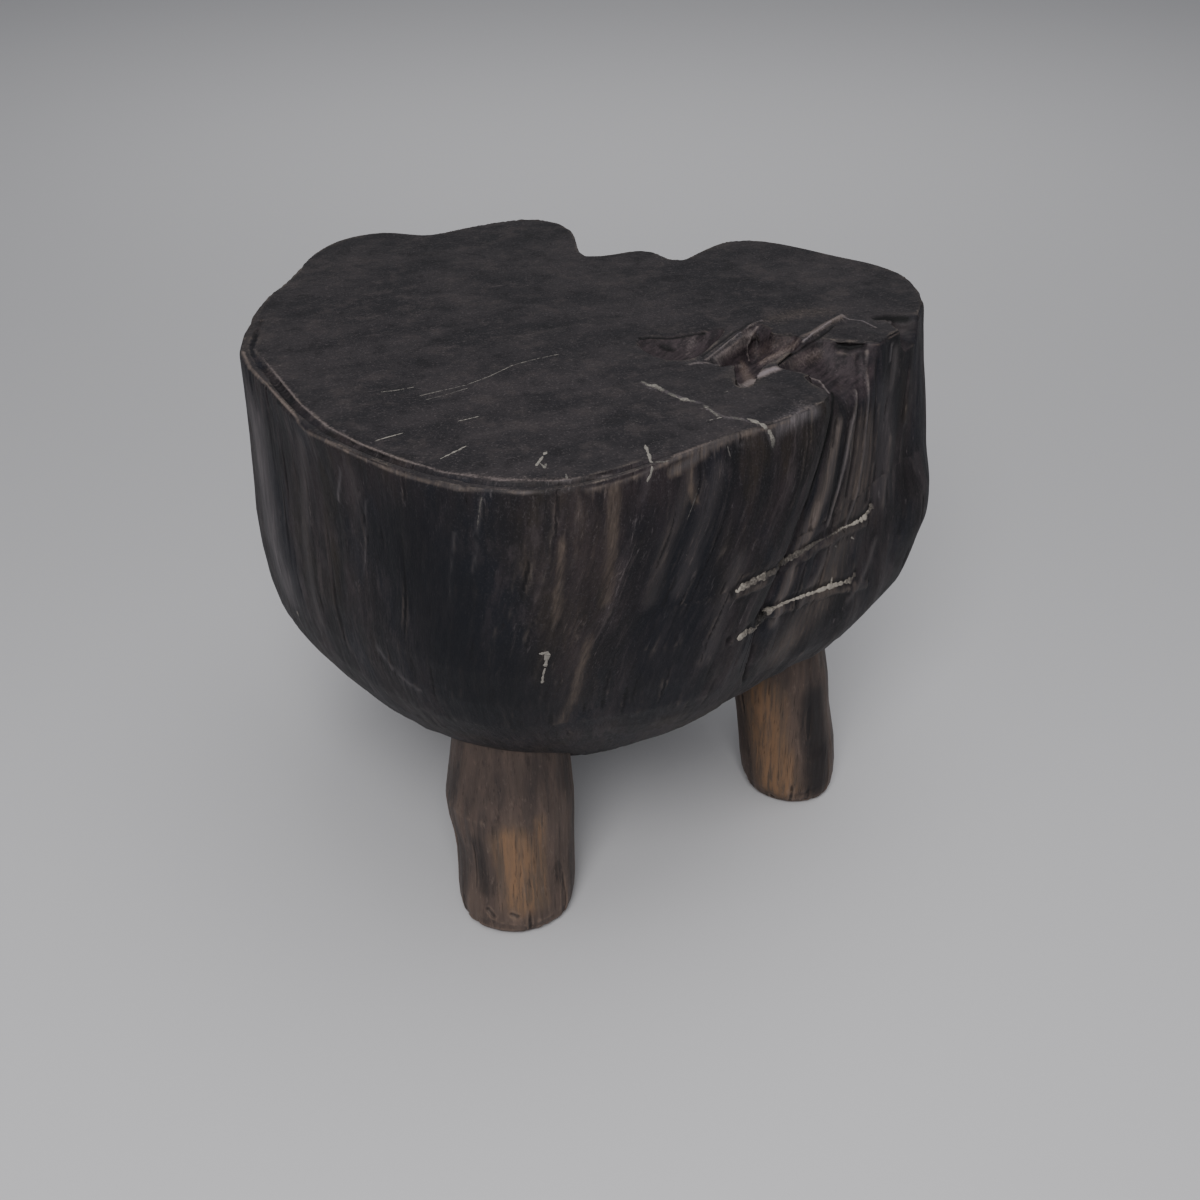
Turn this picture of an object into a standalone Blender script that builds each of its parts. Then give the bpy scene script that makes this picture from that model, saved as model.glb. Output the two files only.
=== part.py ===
"""Three-legged stool hewn from a fluted section of tree trunk.

The seat block is one piece of trunk: a flat top, lobed sides and a bowl-shaped underside. Three round
legs are driven into blind mortises in the underside. The fold between two lobes has opened into a split,
which two iron staples hold together, and an old check across the front lobe is packed with pale filler.
Metres, +Z up, the floor at Z = 0, the front of the stool towards -Y.
"""

import math

import bmesh
import bpy
from mathutils import Matrix, Vector
from mathutils.bvhtree import BVHTree

# Seat block
SEAT_WIDTH = 0.350
SEAT_DEPTH = 0.366
SEAT_HEIGHT = 0.304
BLOCK_THICKNESS = 0.236
RIM_ROUND = 0.0018

# The trunk's outline at the seat, anticlockwise from the front, as shares of half the width and depth
OUTLINE_SHARES = (
    (-0.27, -0.975), (-0.11, -1.0), (0.04, -0.975), (0.19, -0.885), (0.35, -0.745), (0.48, -0.655),
    (0.57, -0.575), (0.612, -0.525), (0.622, -0.475), (0.606, -0.43), (0.572, -0.402), (0.562, -0.378),
    (0.59, -0.358), (0.65, -0.31), (0.73, -0.225), (0.83, -0.1), (0.915, 0.02), (0.975, 0.15),
    (1.0, 0.28), (0.985, 0.42), (0.91, 0.53), (0.8, 0.61), (0.685, 0.7), (0.59, 0.755),
    (0.51, 0.77), (0.43, 0.745), (0.36, 0.67), (0.305, 0.59), (0.262, 0.56), (0.228, 0.605),
    (0.185, 0.66), (0.13, 0.665), (0.045, 0.625), (-0.028, 0.612), (-0.052, 0.7), (-0.072, 0.86),
    (-0.13, 0.955), (-0.21, 1.0), (-0.31, 0.985), (-0.41, 0.935), (-0.5, 0.865), (-0.59, 0.83),
    (-0.68, 0.855), (-0.775, 0.85), (-0.88, 0.765), (-0.935, 0.63), (-0.955, 0.48), (-0.972, 0.35),
    (-0.985, 0.29), (-1.0, 0.2), (-1.0, 0.04), (-0.985, -0.12), (-0.955, -0.22), (-0.9, -0.32),
    (-0.83, -0.43), (-0.735, -0.565), (-0.615, -0.715), (-0.49, -0.84), (-0.385, -0.92),
)
FOLD_POINT = 11
OUTLINE_SAMPLES = 144
CURVE_STEPS = 8
SMOOTHING_SPAN = 9
FOLD_REACH_SHARE = 0.24
SHALLOW_REACH_SHARE = 0.167

# The side, top to bottom: how far down, the reach to the left, right and front or back, how much of the lobes
# is left, how much of those beside the fold, and how far along the outline the fold has drifted, each a share
SIDE_LEVEL_SHARES = (
    (0.06, 1.01, 1.01, 1.005, 0.98, 0.92, 0.003),
    (0.13, 1.02, 1.025, 1.01, 0.96, 0.75, 0.011),
    (0.21, 1.03, 1.045, 1.01, 0.92, 0.52, 0.025),
    (0.30, 1.04, 1.065, 1.005, 0.88, 0.38, 0.040),
    (0.39, 1.05, 1.085, 0.995, 0.82, 0.33, 0.053),
    (0.48, 1.05, 1.09, 0.965, 0.76, 0.30, 0.059),
    (0.56, 1.045, 1.075, 0.92, 0.69, 0.29, 0.062),
    (0.63, 1.03, 1.055, 0.85, 0.63, 0.29, 0.063),
    (0.70, 0.985, 1.005, 0.765, 0.56, 0.29, 0.063),
    (0.76, 0.935, 0.89, 0.685, 0.49, 0.29, 0.063),
    (0.82, 0.86, 0.745, 0.60, 0.39, 0.29, 0.063),
    (0.87, 0.74, 0.605, 0.52, 0.30, 0.29, 0.063),
    (0.92, 0.59, 0.475, 0.44, 0.22, 0.29, 0.063),
    (0.96, 0.455, 0.38, 0.375, 0.16, 0.29, 0.063),
    (1.00, 0.31, 0.29, 0.305, 0.10, 0.29, 0.063),
)

# Places round the front in shares of half the width and depth, how far the rim stands out from the side below
# it at each, or back from it, and how far down the side this runs out as a share of the thickness
FLARE_PLACE_SHARES = (
    (-1.0, 0.04), (-0.9, -0.32), (-0.68, -0.64), (-0.27, -0.975), (0.19, -0.885), (0.57, -0.575), (0.622, -0.475),
)
RIM_FLARES = (0, 0.0035, 0.008, 0.002, -0.006, -0.003, 0)
FLARE_DOWN_SHARE = 0.25

# Groove cut along the rim round the front, between two places given in shares of half the width and depth
GROOVE_LIP = 0.0017
GROOVE_WIDTH = 0.0045
GROOVE_DEPTH = 0.0020
GROOVE_START_SHARES = (-0.985, -0.12)
GROOVE_END_SHARES = (0.04, -0.975)
GROOVE_FADE_SHARE = 0.07
BARE_RIM_SHARE = 0.12

# Hollows beside the fold: plan outlines in shares of half the width and depth, the depth of each floor at its
# middle, and how steeply the floor falls towards the outside
HOLLOW_WALL_SHARES = ((0.55, 1.0), (0.82, 0.72), (1.06, -0.3))
HOLLOW_HEADING = math.radians(-30)
HOLLOW_OUTLINE_SHARES = {
    "left_hollow": ((0.12, -0.11), (0.21, -0.085), (0.31, -0.055), (0.385, -0.01), (0.34, -0.13),
                    (0.275, -0.245), (0.2, -0.26), (0.14, -0.2)),
    "middle_hollow": ((0.475, 0.02), (0.51, -0.065), (0.58, -0.08), (0.585, -0.125), (0.5, -0.25),
                      (0.45, -0.315), (0.41, -0.43), (0.375, -0.43), (0.385, -0.3), (0.33, -0.265),
                      (0.42, -0.09)),
    "right_hollow": ((0.5, -0.29), (0.58, -0.155), (0.63, -0.1), (0.69, -0.125), (0.76, -0.13), (0.9, -0.14),
                     (0.92, -0.25), (0.8, -0.4), (0.7, -0.45), (0.655, -0.405), (0.583, -0.362), (0.52, -0.325)),
    "rim_notch": ((0.84, 0.05), (0.87, 0.075), (0.915, 0.065), (1.0, 0.05), (1.01, -0.05), (0.93, -0.10),
                  (0.865, -0.03)),
}
HOLLOW_DEPTHS = {"left_hollow": 0.007, "middle_hollow": 0.013, "right_hollow": 0.017, "rim_notch": 0.013}
HOLLOW_FALL_SHARES = {"left_hollow": 0.05, "middle_hollow": -0.10, "right_hollow": 0.28, "rim_notch": 0.30}

# Split down the fold
SPLIT_WIDTH = 0.0016
SPLIT_TIP_WIDTH = 0.0006
SPLIT_DEPTH = 0.036
SPLIT_DEPTH_SHARES = (0.3, 0.3, 0.5, 0.8, 1.0, 0.95, 0.9, 0.8, 0.7, 0.6)

# Legs: the middles of the foot and of the tenon's end in shares of half the seat's width and depth, the radius,
# and the swelling of the branch, its turn and its height as a share of the leg below the block
WOOD_OVER_TENON = 0.139
TENON_TAPER_SHARE = 0.82
TENON_CHAMFER = 0.004
LEG_SIDES = 28
UNDERSIDE_ROUNDS = 3
LEG_LEVEL_SHARES = (
    (0.00, 0.80), (0.018, 0.885), (0.06, 0.955), (0.13, 0.99), (0.25, 1.0), (0.4, 0.99), (0.55, 0.985),
    (0.7, 0.99), (0.85, 1.0), (1.0, 1.0),
)
LEG_FOOT_SHARES = {"leg_front": (-0.249, -0.525), "leg_right": (0.694, 0.055), "leg_back": (-0.291, 0.552)}
LEG_TOP_SHARES = {"leg_front": (-0.254, -0.470), "leg_right": (0.569, 0.044), "leg_back": (-0.257, 0.475)}
LEG_RADII = {"leg_front": 0.0320, "leg_right": 0.0285, "leg_back": 0.0305}
LEG_SWELLS = {"leg_front": 0.0034, "leg_right": 0.0020, "leg_back": 0.0030}
LEG_SWELL_TURNS = {"leg_front": math.radians(190), "leg_right": math.radians(330), "leg_back": math.radians(80)}
LEG_SWELL_HEIGHT_SHARES = {"leg_front": 1.0, "leg_right": 0.39, "leg_back": 0.68}
SWELL_SPAN_SHARE = 0.26
OVAL_SHARE = 0.025

# Staples across the split: each is a line of turns about the trunk's middle, and of shares of the thickness down
STAPLE_WIDTH = 0.0042
STAPLE_THICKNESS = 0.0024
STAPLE_PROUD = 0.0010
STAPLE_PRONG = 0.013
STAPLE_STEPS = 2
STAPLE_TURNS = [math.radians(turn) for turn in (-65.5, -59, -51, -42, -31, -18.5)]
STAPLE_DOWN_SHARES = {
    "staple_upper": (0.308, 0.313, 0.337, 0.344, 0.348, 0.374),
    "staple_lower": (0.420, 0.425, 0.437, 0.456, 0.479, 0.530),
}

# Filler in the check across the front lobe, inner end first, in shares of half the width and depth
FILLER_SHARES = ((0.13, -0.415), (0.165, -0.43), (0.193, -0.484), (0.23, -0.51), (0.265, -0.54), (0.3, -0.592),
                 (0.322, -0.621), (0.353, -0.632), (0.386, -0.626), (0.408, -0.655), (0.43, -0.71), (0.44, -0.76))
FILLER_WIDTH = 0.0034
FILLER_TIP_WIDTH = 0.0012
FILLER_DEPTH = 0.009

# Joint clearance, and how far a cutter overruns what it cuts
CLEARANCE = 0.0003
OVERRUN = 0.008

TOP_Z = SEAT_HEIGHT
TENON_TOP = TOP_Z - WOOD_OVER_TENON
UP = Vector((0, 0, 1))


def in_plan(shares, z=TOP_Z):
    """A point given in shares of half the seat's width and depth."""
    return Vector((shares[0] * SEAT_WIDTH / 2, shares[1] * SEAT_DEPTH / 2, z))


def on_curve(before, start, end, after, t):
    """A point on the smooth curve that passes through start and end."""
    return 0.5 * (
        2 * start
        + (end - before) * t
        + (2 * before - 5 * start + 4 * end - after) * t**2
        + (3 * start - before - 3 * end + after) * t**3
    )


def smooth_closed(points, steps):
    """A closed smooth curve through the points, with so many steps between neighbours."""
    curve = []
    for i in range(len(points)):
        around = [points[(i + k) % len(points)] for k in (-1, 0, 1, 2)]
        curve += [on_curve(*around, step / steps) for step in range(steps)]
    return curve


def smooth_open(points, steps):
    """An open smooth curve through the points, with so many steps between neighbours."""
    held = [points[0], *points, points[-1]]
    curve = [on_curve(*held[i:i + 4], step / steps) for i in range(len(points) - 1) for step in range(steps)]
    return [*curve, points[-1]]


def inward(ring):
    """The direction into the block at each point of a flat anticlockwise ring."""
    directions = []
    for i, point in enumerate(ring):
        along = ring[(i + 1) % len(ring)] - ring[i - 1]
        directions.append(UP.cross(along).normalized())
    return directions


def evenly_spaced(ring, count):
    """The closed ring with its points moved to even spacing along it."""
    closed = [*ring, ring[0]]
    lengths = [0.0]
    for start, end in zip(closed, closed[1:]):
        lengths.append(lengths[-1] + (end - start).length)
    spaced, piece = [], 0
    for i in range(count):
        along = lengths[-1] * i / count
        while lengths[piece + 1] < along:
            piece += 1
        share = (along - lengths[piece]) / (lengths[piece + 1] - lengths[piece])
        spaced.append(closed[piece].lerp(closed[piece + 1], share))
    return spaced


def nearest_index(ring, shares):
    """The index of the ring's point nearest to a plan point given in shares."""
    place = in_plan(shares, ring[0].z)
    return min(range(len(ring)), key=lambda i: (ring[i] - place).length)


def at_position(values, position):
    """The value at a position between two neighbours of a closed row."""
    first = math.floor(position)
    share = position - first
    return values[first % len(values)].lerp(values[(first + 1) % len(values)], share)


def steps_round(start, end, count):
    """The signed number of steps from one index to another, the shorter way round a closed row."""
    return (end - start + count / 2) % count - count / 2


def without_lobes(ring):
    """The ring with its lobes and notches averaged away."""
    span = range(-SMOOTHING_SPAN, SMOOTHING_SPAN + 1)
    return [sum((ring[(i + k) % len(ring)] for k in span), Vector()) / len(span) for i in range(len(ring))]


def nearness(away, reach):
    """One at the fold, falling smoothly to nothing at the reach."""
    return 0.5 + 0.5 * math.cos(math.pi * min(1, away / reach))


def side_ring(rough, smooth, fold, level):
    """The block's outline at one level of its side, with its lobes drifting round the trunk beside the fold."""
    down, left, right, front, lobes, fold_lobes, drift = level
    count = len(rough)
    bumps = [a - b for a, b in zip(rough, smooth)]
    facing = inward(smooth)
    ring = []
    for i, plain in enumerate(smooth):
        away = abs(steps_round(fold - drift * count, i, count)) / count
        taken_from = i + drift * count * nearness(away, FOLD_REACH_SHARE)
        turn = at_position(facing, taken_from).rotation_difference(facing[i])
        bump = turn @ at_position(bumps, taken_from)
        scaled = Vector((plain.x * (right if plain.x > 0 else left), plain.y * front, 0))
        kept = lobes * (1 - (1 - fold_lobes) * nearness(away, SHALLOW_REACH_SHARE))
        ring.append(scaled + bump * kept + UP * (TOP_Z - BLOCK_THICKNESS * down))
    return ring


def rim_flares(outline):
    """How far the rim stands out at each outline sample, eased between the places where it is given."""
    places = [nearest_index(outline, place) for place in FLARE_PLACE_SHARES]
    flares = [0.0] * len(outline)
    for start, end, first, last in zip(places, places[1:], RIM_FLARES, RIM_FLARES[1:]):
        span = (end - start) % len(outline)
        for along in range(span):
            eased = 0.5 - 0.5 * math.cos(math.pi * along / span)
            flares[(start + along) % len(outline)] = first + (last - first) * eased
    return flares


def flared(ring, flares, kept):
    """The ring moved out by so much of the rim's flares."""
    return [point - into * flare * kept for point, into, flare in zip(ring, inward(ring), flares)]


def groove_strength(index, start, end, count):
    """How much of the groove there is at an outline sample: all of it round the front, none behind."""
    length = (end - start) % count
    along = (index - start) % count
    if along <= length:
        return 1.0
    behind = min(along - length, count - along)
    return max(0.0, 1 - behind / (GROOVE_FADE_SHARE * count))


def top_rings(outline):
    """The rings over the rounded rim, the lip and the groove, outermost first."""
    start, end = (nearest_index(outline, place) for place in (GROOVE_START_SHARES, GROOVE_END_SHARES))
    directions = inward(outline)
    bevel = RIM_ROUND * (1 - math.sqrt(0.5))
    groove = GROOVE_LIP + RIM_ROUND
    profile = (
        (0, RIM_ROUND, 0), (bevel, bevel, 0), (RIM_ROUND, 0, 0), (groove, 0, 0),
        (groove + GROOVE_WIDTH * 0.3, 0, GROOVE_DEPTH), (groove + GROOVE_WIDTH * 0.6, 0, GROOVE_DEPTH),
        (groove + GROOVE_WIDTH, 0, 0),
    )
    rings = []
    for inset, drop, cut_depth in profile:
        ring = []
        for index, (point, direction) in enumerate(zip(outline, directions)):
            strength = groove_strength(index, start, end, len(outline))
            spread = BARE_RIM_SHARE + (1 - BARE_RIM_SHARE) * strength
            reach = min(inset, RIM_ROUND) + max(0, inset - RIM_ROUND) * spread
            ring.append(point + direction * reach - UP * (drop + cut_depth * strength))
        rings.append(ring)
    return rings


def new_object(name, mesh, parent=None, place=None, smooth_angle=math.radians(35)):
    """Adds a mesh to the scene as an object with its origin at the given place."""
    made = bpy.data.objects.new(name, mesh)
    bpy.context.scene.collection.objects.link(made)
    if place is not None:
        mesh.transform(Matrix.Translation(-place))
        made.location = place
    made.parent = parent
    mesh.shade_smooth()
    mesh.set_sharp_from_angle(angle=smooth_angle)
    return made


def lofted(name, rings):
    """A closed mesh through rings of equal length, with a cap fanned to the middle of the first and the last."""
    shell = bmesh.new()
    rows = [[shell.verts.new(point) for point in ring] for ring in rings]
    for lower, upper in zip(rows, rows[1:]):
        for i in range(len(lower)):
            j = (i + 1) % len(lower)
            shell.faces.new((lower[i], lower[j], upper[j]))
            shell.faces.new((lower[i], upper[j], upper[i]))
    for row, ring in ((rows[0], rings[0]), (rows[-1], rings[-1])):
        middle = shell.verts.new(sum(ring, Vector()) / len(ring))
        for i in range(len(row)):
            shell.faces.new((row[i - 1], row[i], middle))
    bmesh.ops.recalc_face_normals(shell, faces=shell.faces)
    mesh = bpy.data.meshes.new(name)
    shell.to_mesh(mesh)
    shell.free()
    return mesh


def new_helper(mesh, stool, group=None):
    """Adds a mesh that only shapes another piece, and isn't a piece of the stool itself."""
    helper = new_object(mesh.name, mesh, stool)
    helper.hide_render = True
    helper.display_type = "WIRE"
    if group:
        group.objects.link(helper)
    return helper


def add_boolean(piece, operation):
    """Adds an exact Boolean to a piece."""
    boolean = piece.modifiers.new(operation.lower(), "BOOLEAN")
    boolean.operation = operation
    boolean.solver = "EXACT"
    return boolean


def hollow_mesh(name):
    """A hollow with rounded walls and a floor that falls towards the outside."""
    depth, fall = HOLLOW_DEPTHS[name], HOLLOW_FALL_SHARES[name]
    edge = smooth_closed([in_plan(point) for point in HOLLOW_OUTLINE_SHARES[name]], 2)
    middle = sum(edge, Vector()) / len(edge)
    outwards = Vector((math.cos(HOLLOW_HEADING), math.sin(HOLLOW_HEADING), 0))
    rings = []
    for share, sunk in HOLLOW_WALL_SHARES:
        ring = [middle.lerp(point, share) for point in edge]
        rings.append([point - UP * sunk * (depth + fall * (point - middle).dot(outwards)) for point in ring])
    rings.append([point + UP * OVERRUN for point in rings[-1]])
    return lofted(name + "_cutter", rings)


def split_mesh(sides, fold):
    """A thin blade down the fold, from above the seat to near the underside."""
    stations = [at_position(sides[0][1], fold - sides[0][0][-1] * OUTLINE_SAMPLES) + UP * OVERRUN * 3]
    for level, ring in sides[:len(SPLIT_DEPTH_SHARES) - 1]:
        stations.append(at_position(ring, fold - level[-1] * OUTLINE_SAMPLES))
    facing = [at_position(inward(ring), fold - level[-1] * OUTLINE_SAMPLES) for level, ring in sides]
    into = sum(facing[:len(stations)], Vector()).normalized()
    across = UP.cross(into)
    rings = []
    for mouth, depth in zip(stations, SPLIT_DEPTH_SHARES):
        tip = mouth + into * SPLIT_DEPTH * depth
        outside = mouth - into * OVERRUN
        rings.append([
            outside - across * SPLIT_WIDTH / 2, outside + across * SPLIT_WIDTH / 2,
            tip + across * SPLIT_TIP_WIDTH / 2, tip - across * SPLIT_TIP_WIDTH / 2,
        ])
    return lofted("split_cutter", rings)


def leg_axis(name, z):
    """The middle of a leg at height z: each leg leans a little on its way up."""
    foot, top = in_plan(LEG_FOOT_SHARES[name], 0), in_plan(LEG_TOP_SHARES[name], TENON_TOP)
    return foot.lerp(top, z / TENON_TOP)


def leg_ring(name, z, share, start, ease=0.0):
    """One ring of a leg, out of round as the branch grew. The block's underside is at the start height."""
    from_swell = (z / start - LEG_SWELL_HEIGHT_SHARES[name]) / SWELL_SPAN_SHARE
    swell = LEG_SWELLS[name] * math.exp(-(from_swell**2))
    ring = []
    for i in range(LEG_SIDES):
        turn = 2 * math.pi * i / LEG_SIDES
        from_side = turn - LEG_SWELL_TURNS[name]
        radius = LEG_RADII[name] * share * (1 + OVAL_SHARE * math.cos(2 * from_side))
        radius += swell * max(0, math.cos(from_side)) + ease
        ring.append(leg_axis(name, z) + Vector((radius * math.cos(turn), radius * math.sin(turn), 0)))
    return ring


def tenon_rings(name, start, ease=0.0):
    """The rings of the part inside the block, which tapers from the underside to its chamfered end."""
    rings = []
    for step in (0, 0.5, 1):
        z = start + (TENON_TOP - TENON_CHAMFER - start) * step
        taper = 1 + (TENON_TAPER_SHARE - 1) * (z - start) / (TENON_TOP - start)
        rings.append(leg_ring(name, z, taper, start, ease))
    return rings


def leg_mesh(name, start):
    """A leg from its worn foot to the end of its tenon, which starts where the block's underside does."""
    rings = [leg_ring(name, start * height, share, start) for height, share in LEG_LEVEL_SHARES]
    rings += tenon_rings(name, start)[1:]
    rings.append(leg_ring(name, TENON_TOP, TENON_TAPER_SHARE, start, -TENON_CHAMFER))
    return lofted(name, rings)


def mortise_mesh(name, start):
    """The blind socket for a leg's tenon, a clearance larger all round."""
    mouth = leg_ring(name, start - OVERRUN, 1, start, CLEARANCE)
    rings = tenon_rings(name, start, CLEARANCE)
    end = [Vector((point.x, point.y, TENON_TOP + CLEARANCE)) for point in rings[-1]]
    return lofted(name + "_mortise", [mouth, *rings, end])


def underside_height(block, name):
    """The lowest height at which a leg's rim meets the block's underside, found by closing in on it."""
    tree = BVHTree.FromObject(block, bpy.context.evaluated_depsgraph_get())
    height = TOP_Z - BLOCK_THICKNESS
    for _ in range(UNDERSIDE_ROUNDS):
        rim = leg_ring(name, height, 1, height)
        height = min(tree.ray_cast(Vector((point.x, point.y, 0)), UP)[0].z for point in rim)
    return height


def surface_route(block, down_shares):
    """Points and outward directions on the block's side, over the split, along a smooth line."""
    tree = BVHTree.FromObject(block, bpy.context.evaluated_depsgraph_get())
    touched = []
    for turn, down in zip(STAPLE_TURNS, down_shares):
        out = Vector((math.cos(turn), math.sin(turn), 0))
        start = out * (SEAT_WIDTH + SEAT_DEPTH) + UP * (TOP_Z - BLOCK_THICKNESS * down)
        touched.append(tree.ray_cast(start, -out)[0])
    return [(point, tree.find_nearest(point)[1]) for point in smooth_open(touched, STAPLE_STEPS)]


def staple_mesh(name, route, ease=0.0, outer_ease=0.0):
    """A flat bar along the route with a prong turned into the wood at each end."""
    sunk = STAPLE_THICKNESS / 2 - STAPLE_PROUD
    normal = sum((out for _, out in route), Vector()).normalized()
    spine = [point - normal * sunk for point, _ in route]
    prong = normal * (STAPLE_PRONG + ease)
    spine = [spine[0] - prong, *spine, spine[-1] - prong]
    side = (spine[-1] - spine[0]).cross(normal).normalized() * (STAPLE_WIDTH / 2 + ease)
    rings = []
    for i, point in enumerate(spine):
        before = (point - spine[i - 1]).normalized() if i else prong.normalized()
        after = (spine[i + 1] - point).normalized() if i + 1 < len(spine) else -prong.normalized()
        if not i:
            before = after
        if i + 1 == len(spine):
            after = before
        along = (before + after).normalized()
        across = side.normalized().cross(along)
        stretch = 1 / max(0.5, along.dot(after))
        outer = across * (STAPLE_THICKNESS / 2 + ease + outer_ease) * stretch
        inner = across * (STAPLE_THICKNESS / 2 + ease) * stretch
        rings.append([point + outer - side, point + outer + side, point - inner + side, point - inner - side])
    return lofted(name, rings)


def filler_mesh(name, ease=0.0):
    """A strip down the check, narrowing to its inner end, taller than the block's own surface."""
    spine = [in_plan(point) for point in FILLER_SHARES]
    floor, over = UP * (FILLER_DEPTH + ease), UP * (OVERRUN + ease)
    rings = []
    for i, point in enumerate(spine):
        along = (spine[min(i + 1, len(spine) - 1)] - spine[max(i - 1, 0)]).normalized()
        across = UP.cross(along)
        share = i / (len(spine) - 1)
        half = (FILLER_TIP_WIDTH + (FILLER_WIDTH - FILLER_TIP_WIDTH) * share) / 2 + ease
        end = along * ease * ((i + 1 == len(spine)) - (i == 0))
        left, right = point + across * half + end, point - across * half + end
        rings.append([right - floor, left - floor, left + over, right + over])
    return lofted(name, rings)


def finish(name, colour, roughness, metallic=0.0):
    """A plain finish for one piece."""
    material = bpy.data.materials.new(name)
    material.use_nodes = True
    surface = material.node_tree.nodes["Principled BSDF"]
    surface.inputs["Base Color"].default_value = (*colour, 1)
    surface.inputs["Roughness"].default_value = roughness
    surface.inputs["Metallic"].default_value = metallic
    return material


def main():
    """Clears the scene and builds the stool."""
    for old in list(bpy.data.objects):
        bpy.data.objects.remove(old)
    stool = bpy.data.objects.new("stool", None)
    bpy.context.scene.collection.objects.link(stool)

    dark_wood = finish("dark_weathered_wood", (0.030, 0.025, 0.023), 0.62)
    leg_wood = finish("worn_leg_wood", (0.075, 0.048, 0.032), 0.6)
    old_iron = finish("old_staple_iron", (0.20, 0.175, 0.15), 0.7, 0.35)
    pale_filler = finish("pale_filler", (0.26, 0.24, 0.21), 0.8)

    curve = smooth_closed([in_plan(point) for point in OUTLINE_SHARES], CURVE_STEPS)
    outline = evenly_spaced(curve, OUTLINE_SAMPLES)
    fold = nearest_index(outline, OUTLINE_SHARES[FOLD_POINT])
    flat = [Vector((point.x, point.y, 0)) for point in outline]
    smooth = without_lobes(flat)
    flares = rim_flares(outline)
    sides = []
    for level in SIDE_LEVEL_SHARES:
        kept = max(0, 1 - level[0] / FLARE_DOWN_SHARE) ** 2
        sides.append((level, flared(side_ring(flat, smooth, fold, level), flares, kept)))
    rings = [ring for _, ring in sides[::-1]] + top_rings(flared(outline, flares, 1))
    block = new_object("seat_block", lofted("seat_block", rings), stool)
    block.data.materials.append(dark_wood)
    bpy.context.view_layer.update()

    routes = {name: surface_route(block, shares) for name, shares in STAPLE_DOWN_SHARES.items()}
    starts = {name: underside_height(block, name) for name in LEG_RADII}
    cutters = bpy.data.collections.new("cutters")
    bpy.context.scene.collection.children.link(cutters)
    for name in HOLLOW_OUTLINE_SHARES:
        new_helper(hollow_mesh(name), stool, cutters)
    new_helper(split_mesh(sides, fold), stool, cutters)

    for name, start in starts.items():
        leg = new_object(name, leg_mesh(name, start), stool, leg_axis(name, 0))
        leg.data.materials.append(leg_wood)
        new_helper(mortise_mesh(name, start), stool, cutters)

    for name, route in routes.items():
        staple = new_object(name, staple_mesh(name, route), stool, route[0][0])
        staple.data.materials.append(old_iron)
        new_helper(staple_mesh(name + "_seat", route, CLEARANCE, STAPLE_THICKNESS), stool, cutters)

    filler = new_object("crack_filler", filler_mesh("crack_filler"), stool)
    filler.data.materials.append(pale_filler)
    new_helper(filler_mesh("crack_filler_seat", CLEARANCE), stool, cutters)
    add_boolean(filler, "INTERSECT").object = new_helper(lofted("filler_limit", rings), stool)

    cuts = add_boolean(block, "DIFFERENCE")
    cuts.operand_type = "COLLECTION"
    cuts.collection = cutters

    points = [point for ring in rings for point in ring]
    stool.location = (
        -(min(point.x for point in points) + max(point.x for point in points)) / 2,
        -(min(point.y for point in points) + max(point.y for point in points)) / 2,
        0,
    )


main()
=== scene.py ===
"""Looks for a three-legged stool hewn from a fluted section of tree trunk, dark with age and handling.

The block and the legs are fine copies of the CAD solids, sculpted with the marks of growth, blade and wear.
The staples, the filler and the pale chips are modelled where they lie on the wood. Metres, +Z up.
"""

import itertools
import math

import bpy
import numpy as np
from mathutils import Matrix, Vector
from mathutils.bvhtree import BVHTree


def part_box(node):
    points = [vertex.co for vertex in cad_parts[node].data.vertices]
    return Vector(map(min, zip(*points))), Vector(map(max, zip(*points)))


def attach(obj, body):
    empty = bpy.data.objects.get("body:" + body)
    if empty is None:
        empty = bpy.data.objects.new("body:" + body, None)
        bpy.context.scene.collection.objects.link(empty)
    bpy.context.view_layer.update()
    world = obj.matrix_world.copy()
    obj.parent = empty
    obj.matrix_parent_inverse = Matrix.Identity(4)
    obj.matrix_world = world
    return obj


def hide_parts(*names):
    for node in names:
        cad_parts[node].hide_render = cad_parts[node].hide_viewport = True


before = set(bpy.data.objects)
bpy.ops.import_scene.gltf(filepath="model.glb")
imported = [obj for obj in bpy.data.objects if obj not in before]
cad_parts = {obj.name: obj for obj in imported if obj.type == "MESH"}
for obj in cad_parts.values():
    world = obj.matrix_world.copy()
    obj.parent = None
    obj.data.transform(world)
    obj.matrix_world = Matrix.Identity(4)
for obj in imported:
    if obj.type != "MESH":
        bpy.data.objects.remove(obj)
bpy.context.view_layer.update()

MM = 0.001

# The photograph's camera: 1200 by 1200 pixels
EYE = Vector((0.0008, -0.6547, 0.5482))
EYE_TURN = math.radians(58)
LENS_MM = 40.5
SENSOR_MM = 36
PHOTO_SIDE = 1200
FOCAL_PIXELS = PHOTO_SIDE * LENS_MM / SENSOR_MM

# The grid that each copy is remeshed to, and the triangles that each keeps
BLOCK_GRID = 1.15 * MM
LEG_GRID = 0.95 * MM
STAPLE_GRID = 0.6 * MM
FILLER_GRID = 0.5 * MM
BLOCK_TRIANGLES = 196000
LEG_TRIANGLES = 50000

# Gap round the pieces in slots, and how far and how widely the wood by the bars is sunk
SLOT_GAP = 0.45 * MM
BAR_SINK = 1.0 * MM
BAR_SINK_REACH = 5 * MM

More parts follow.
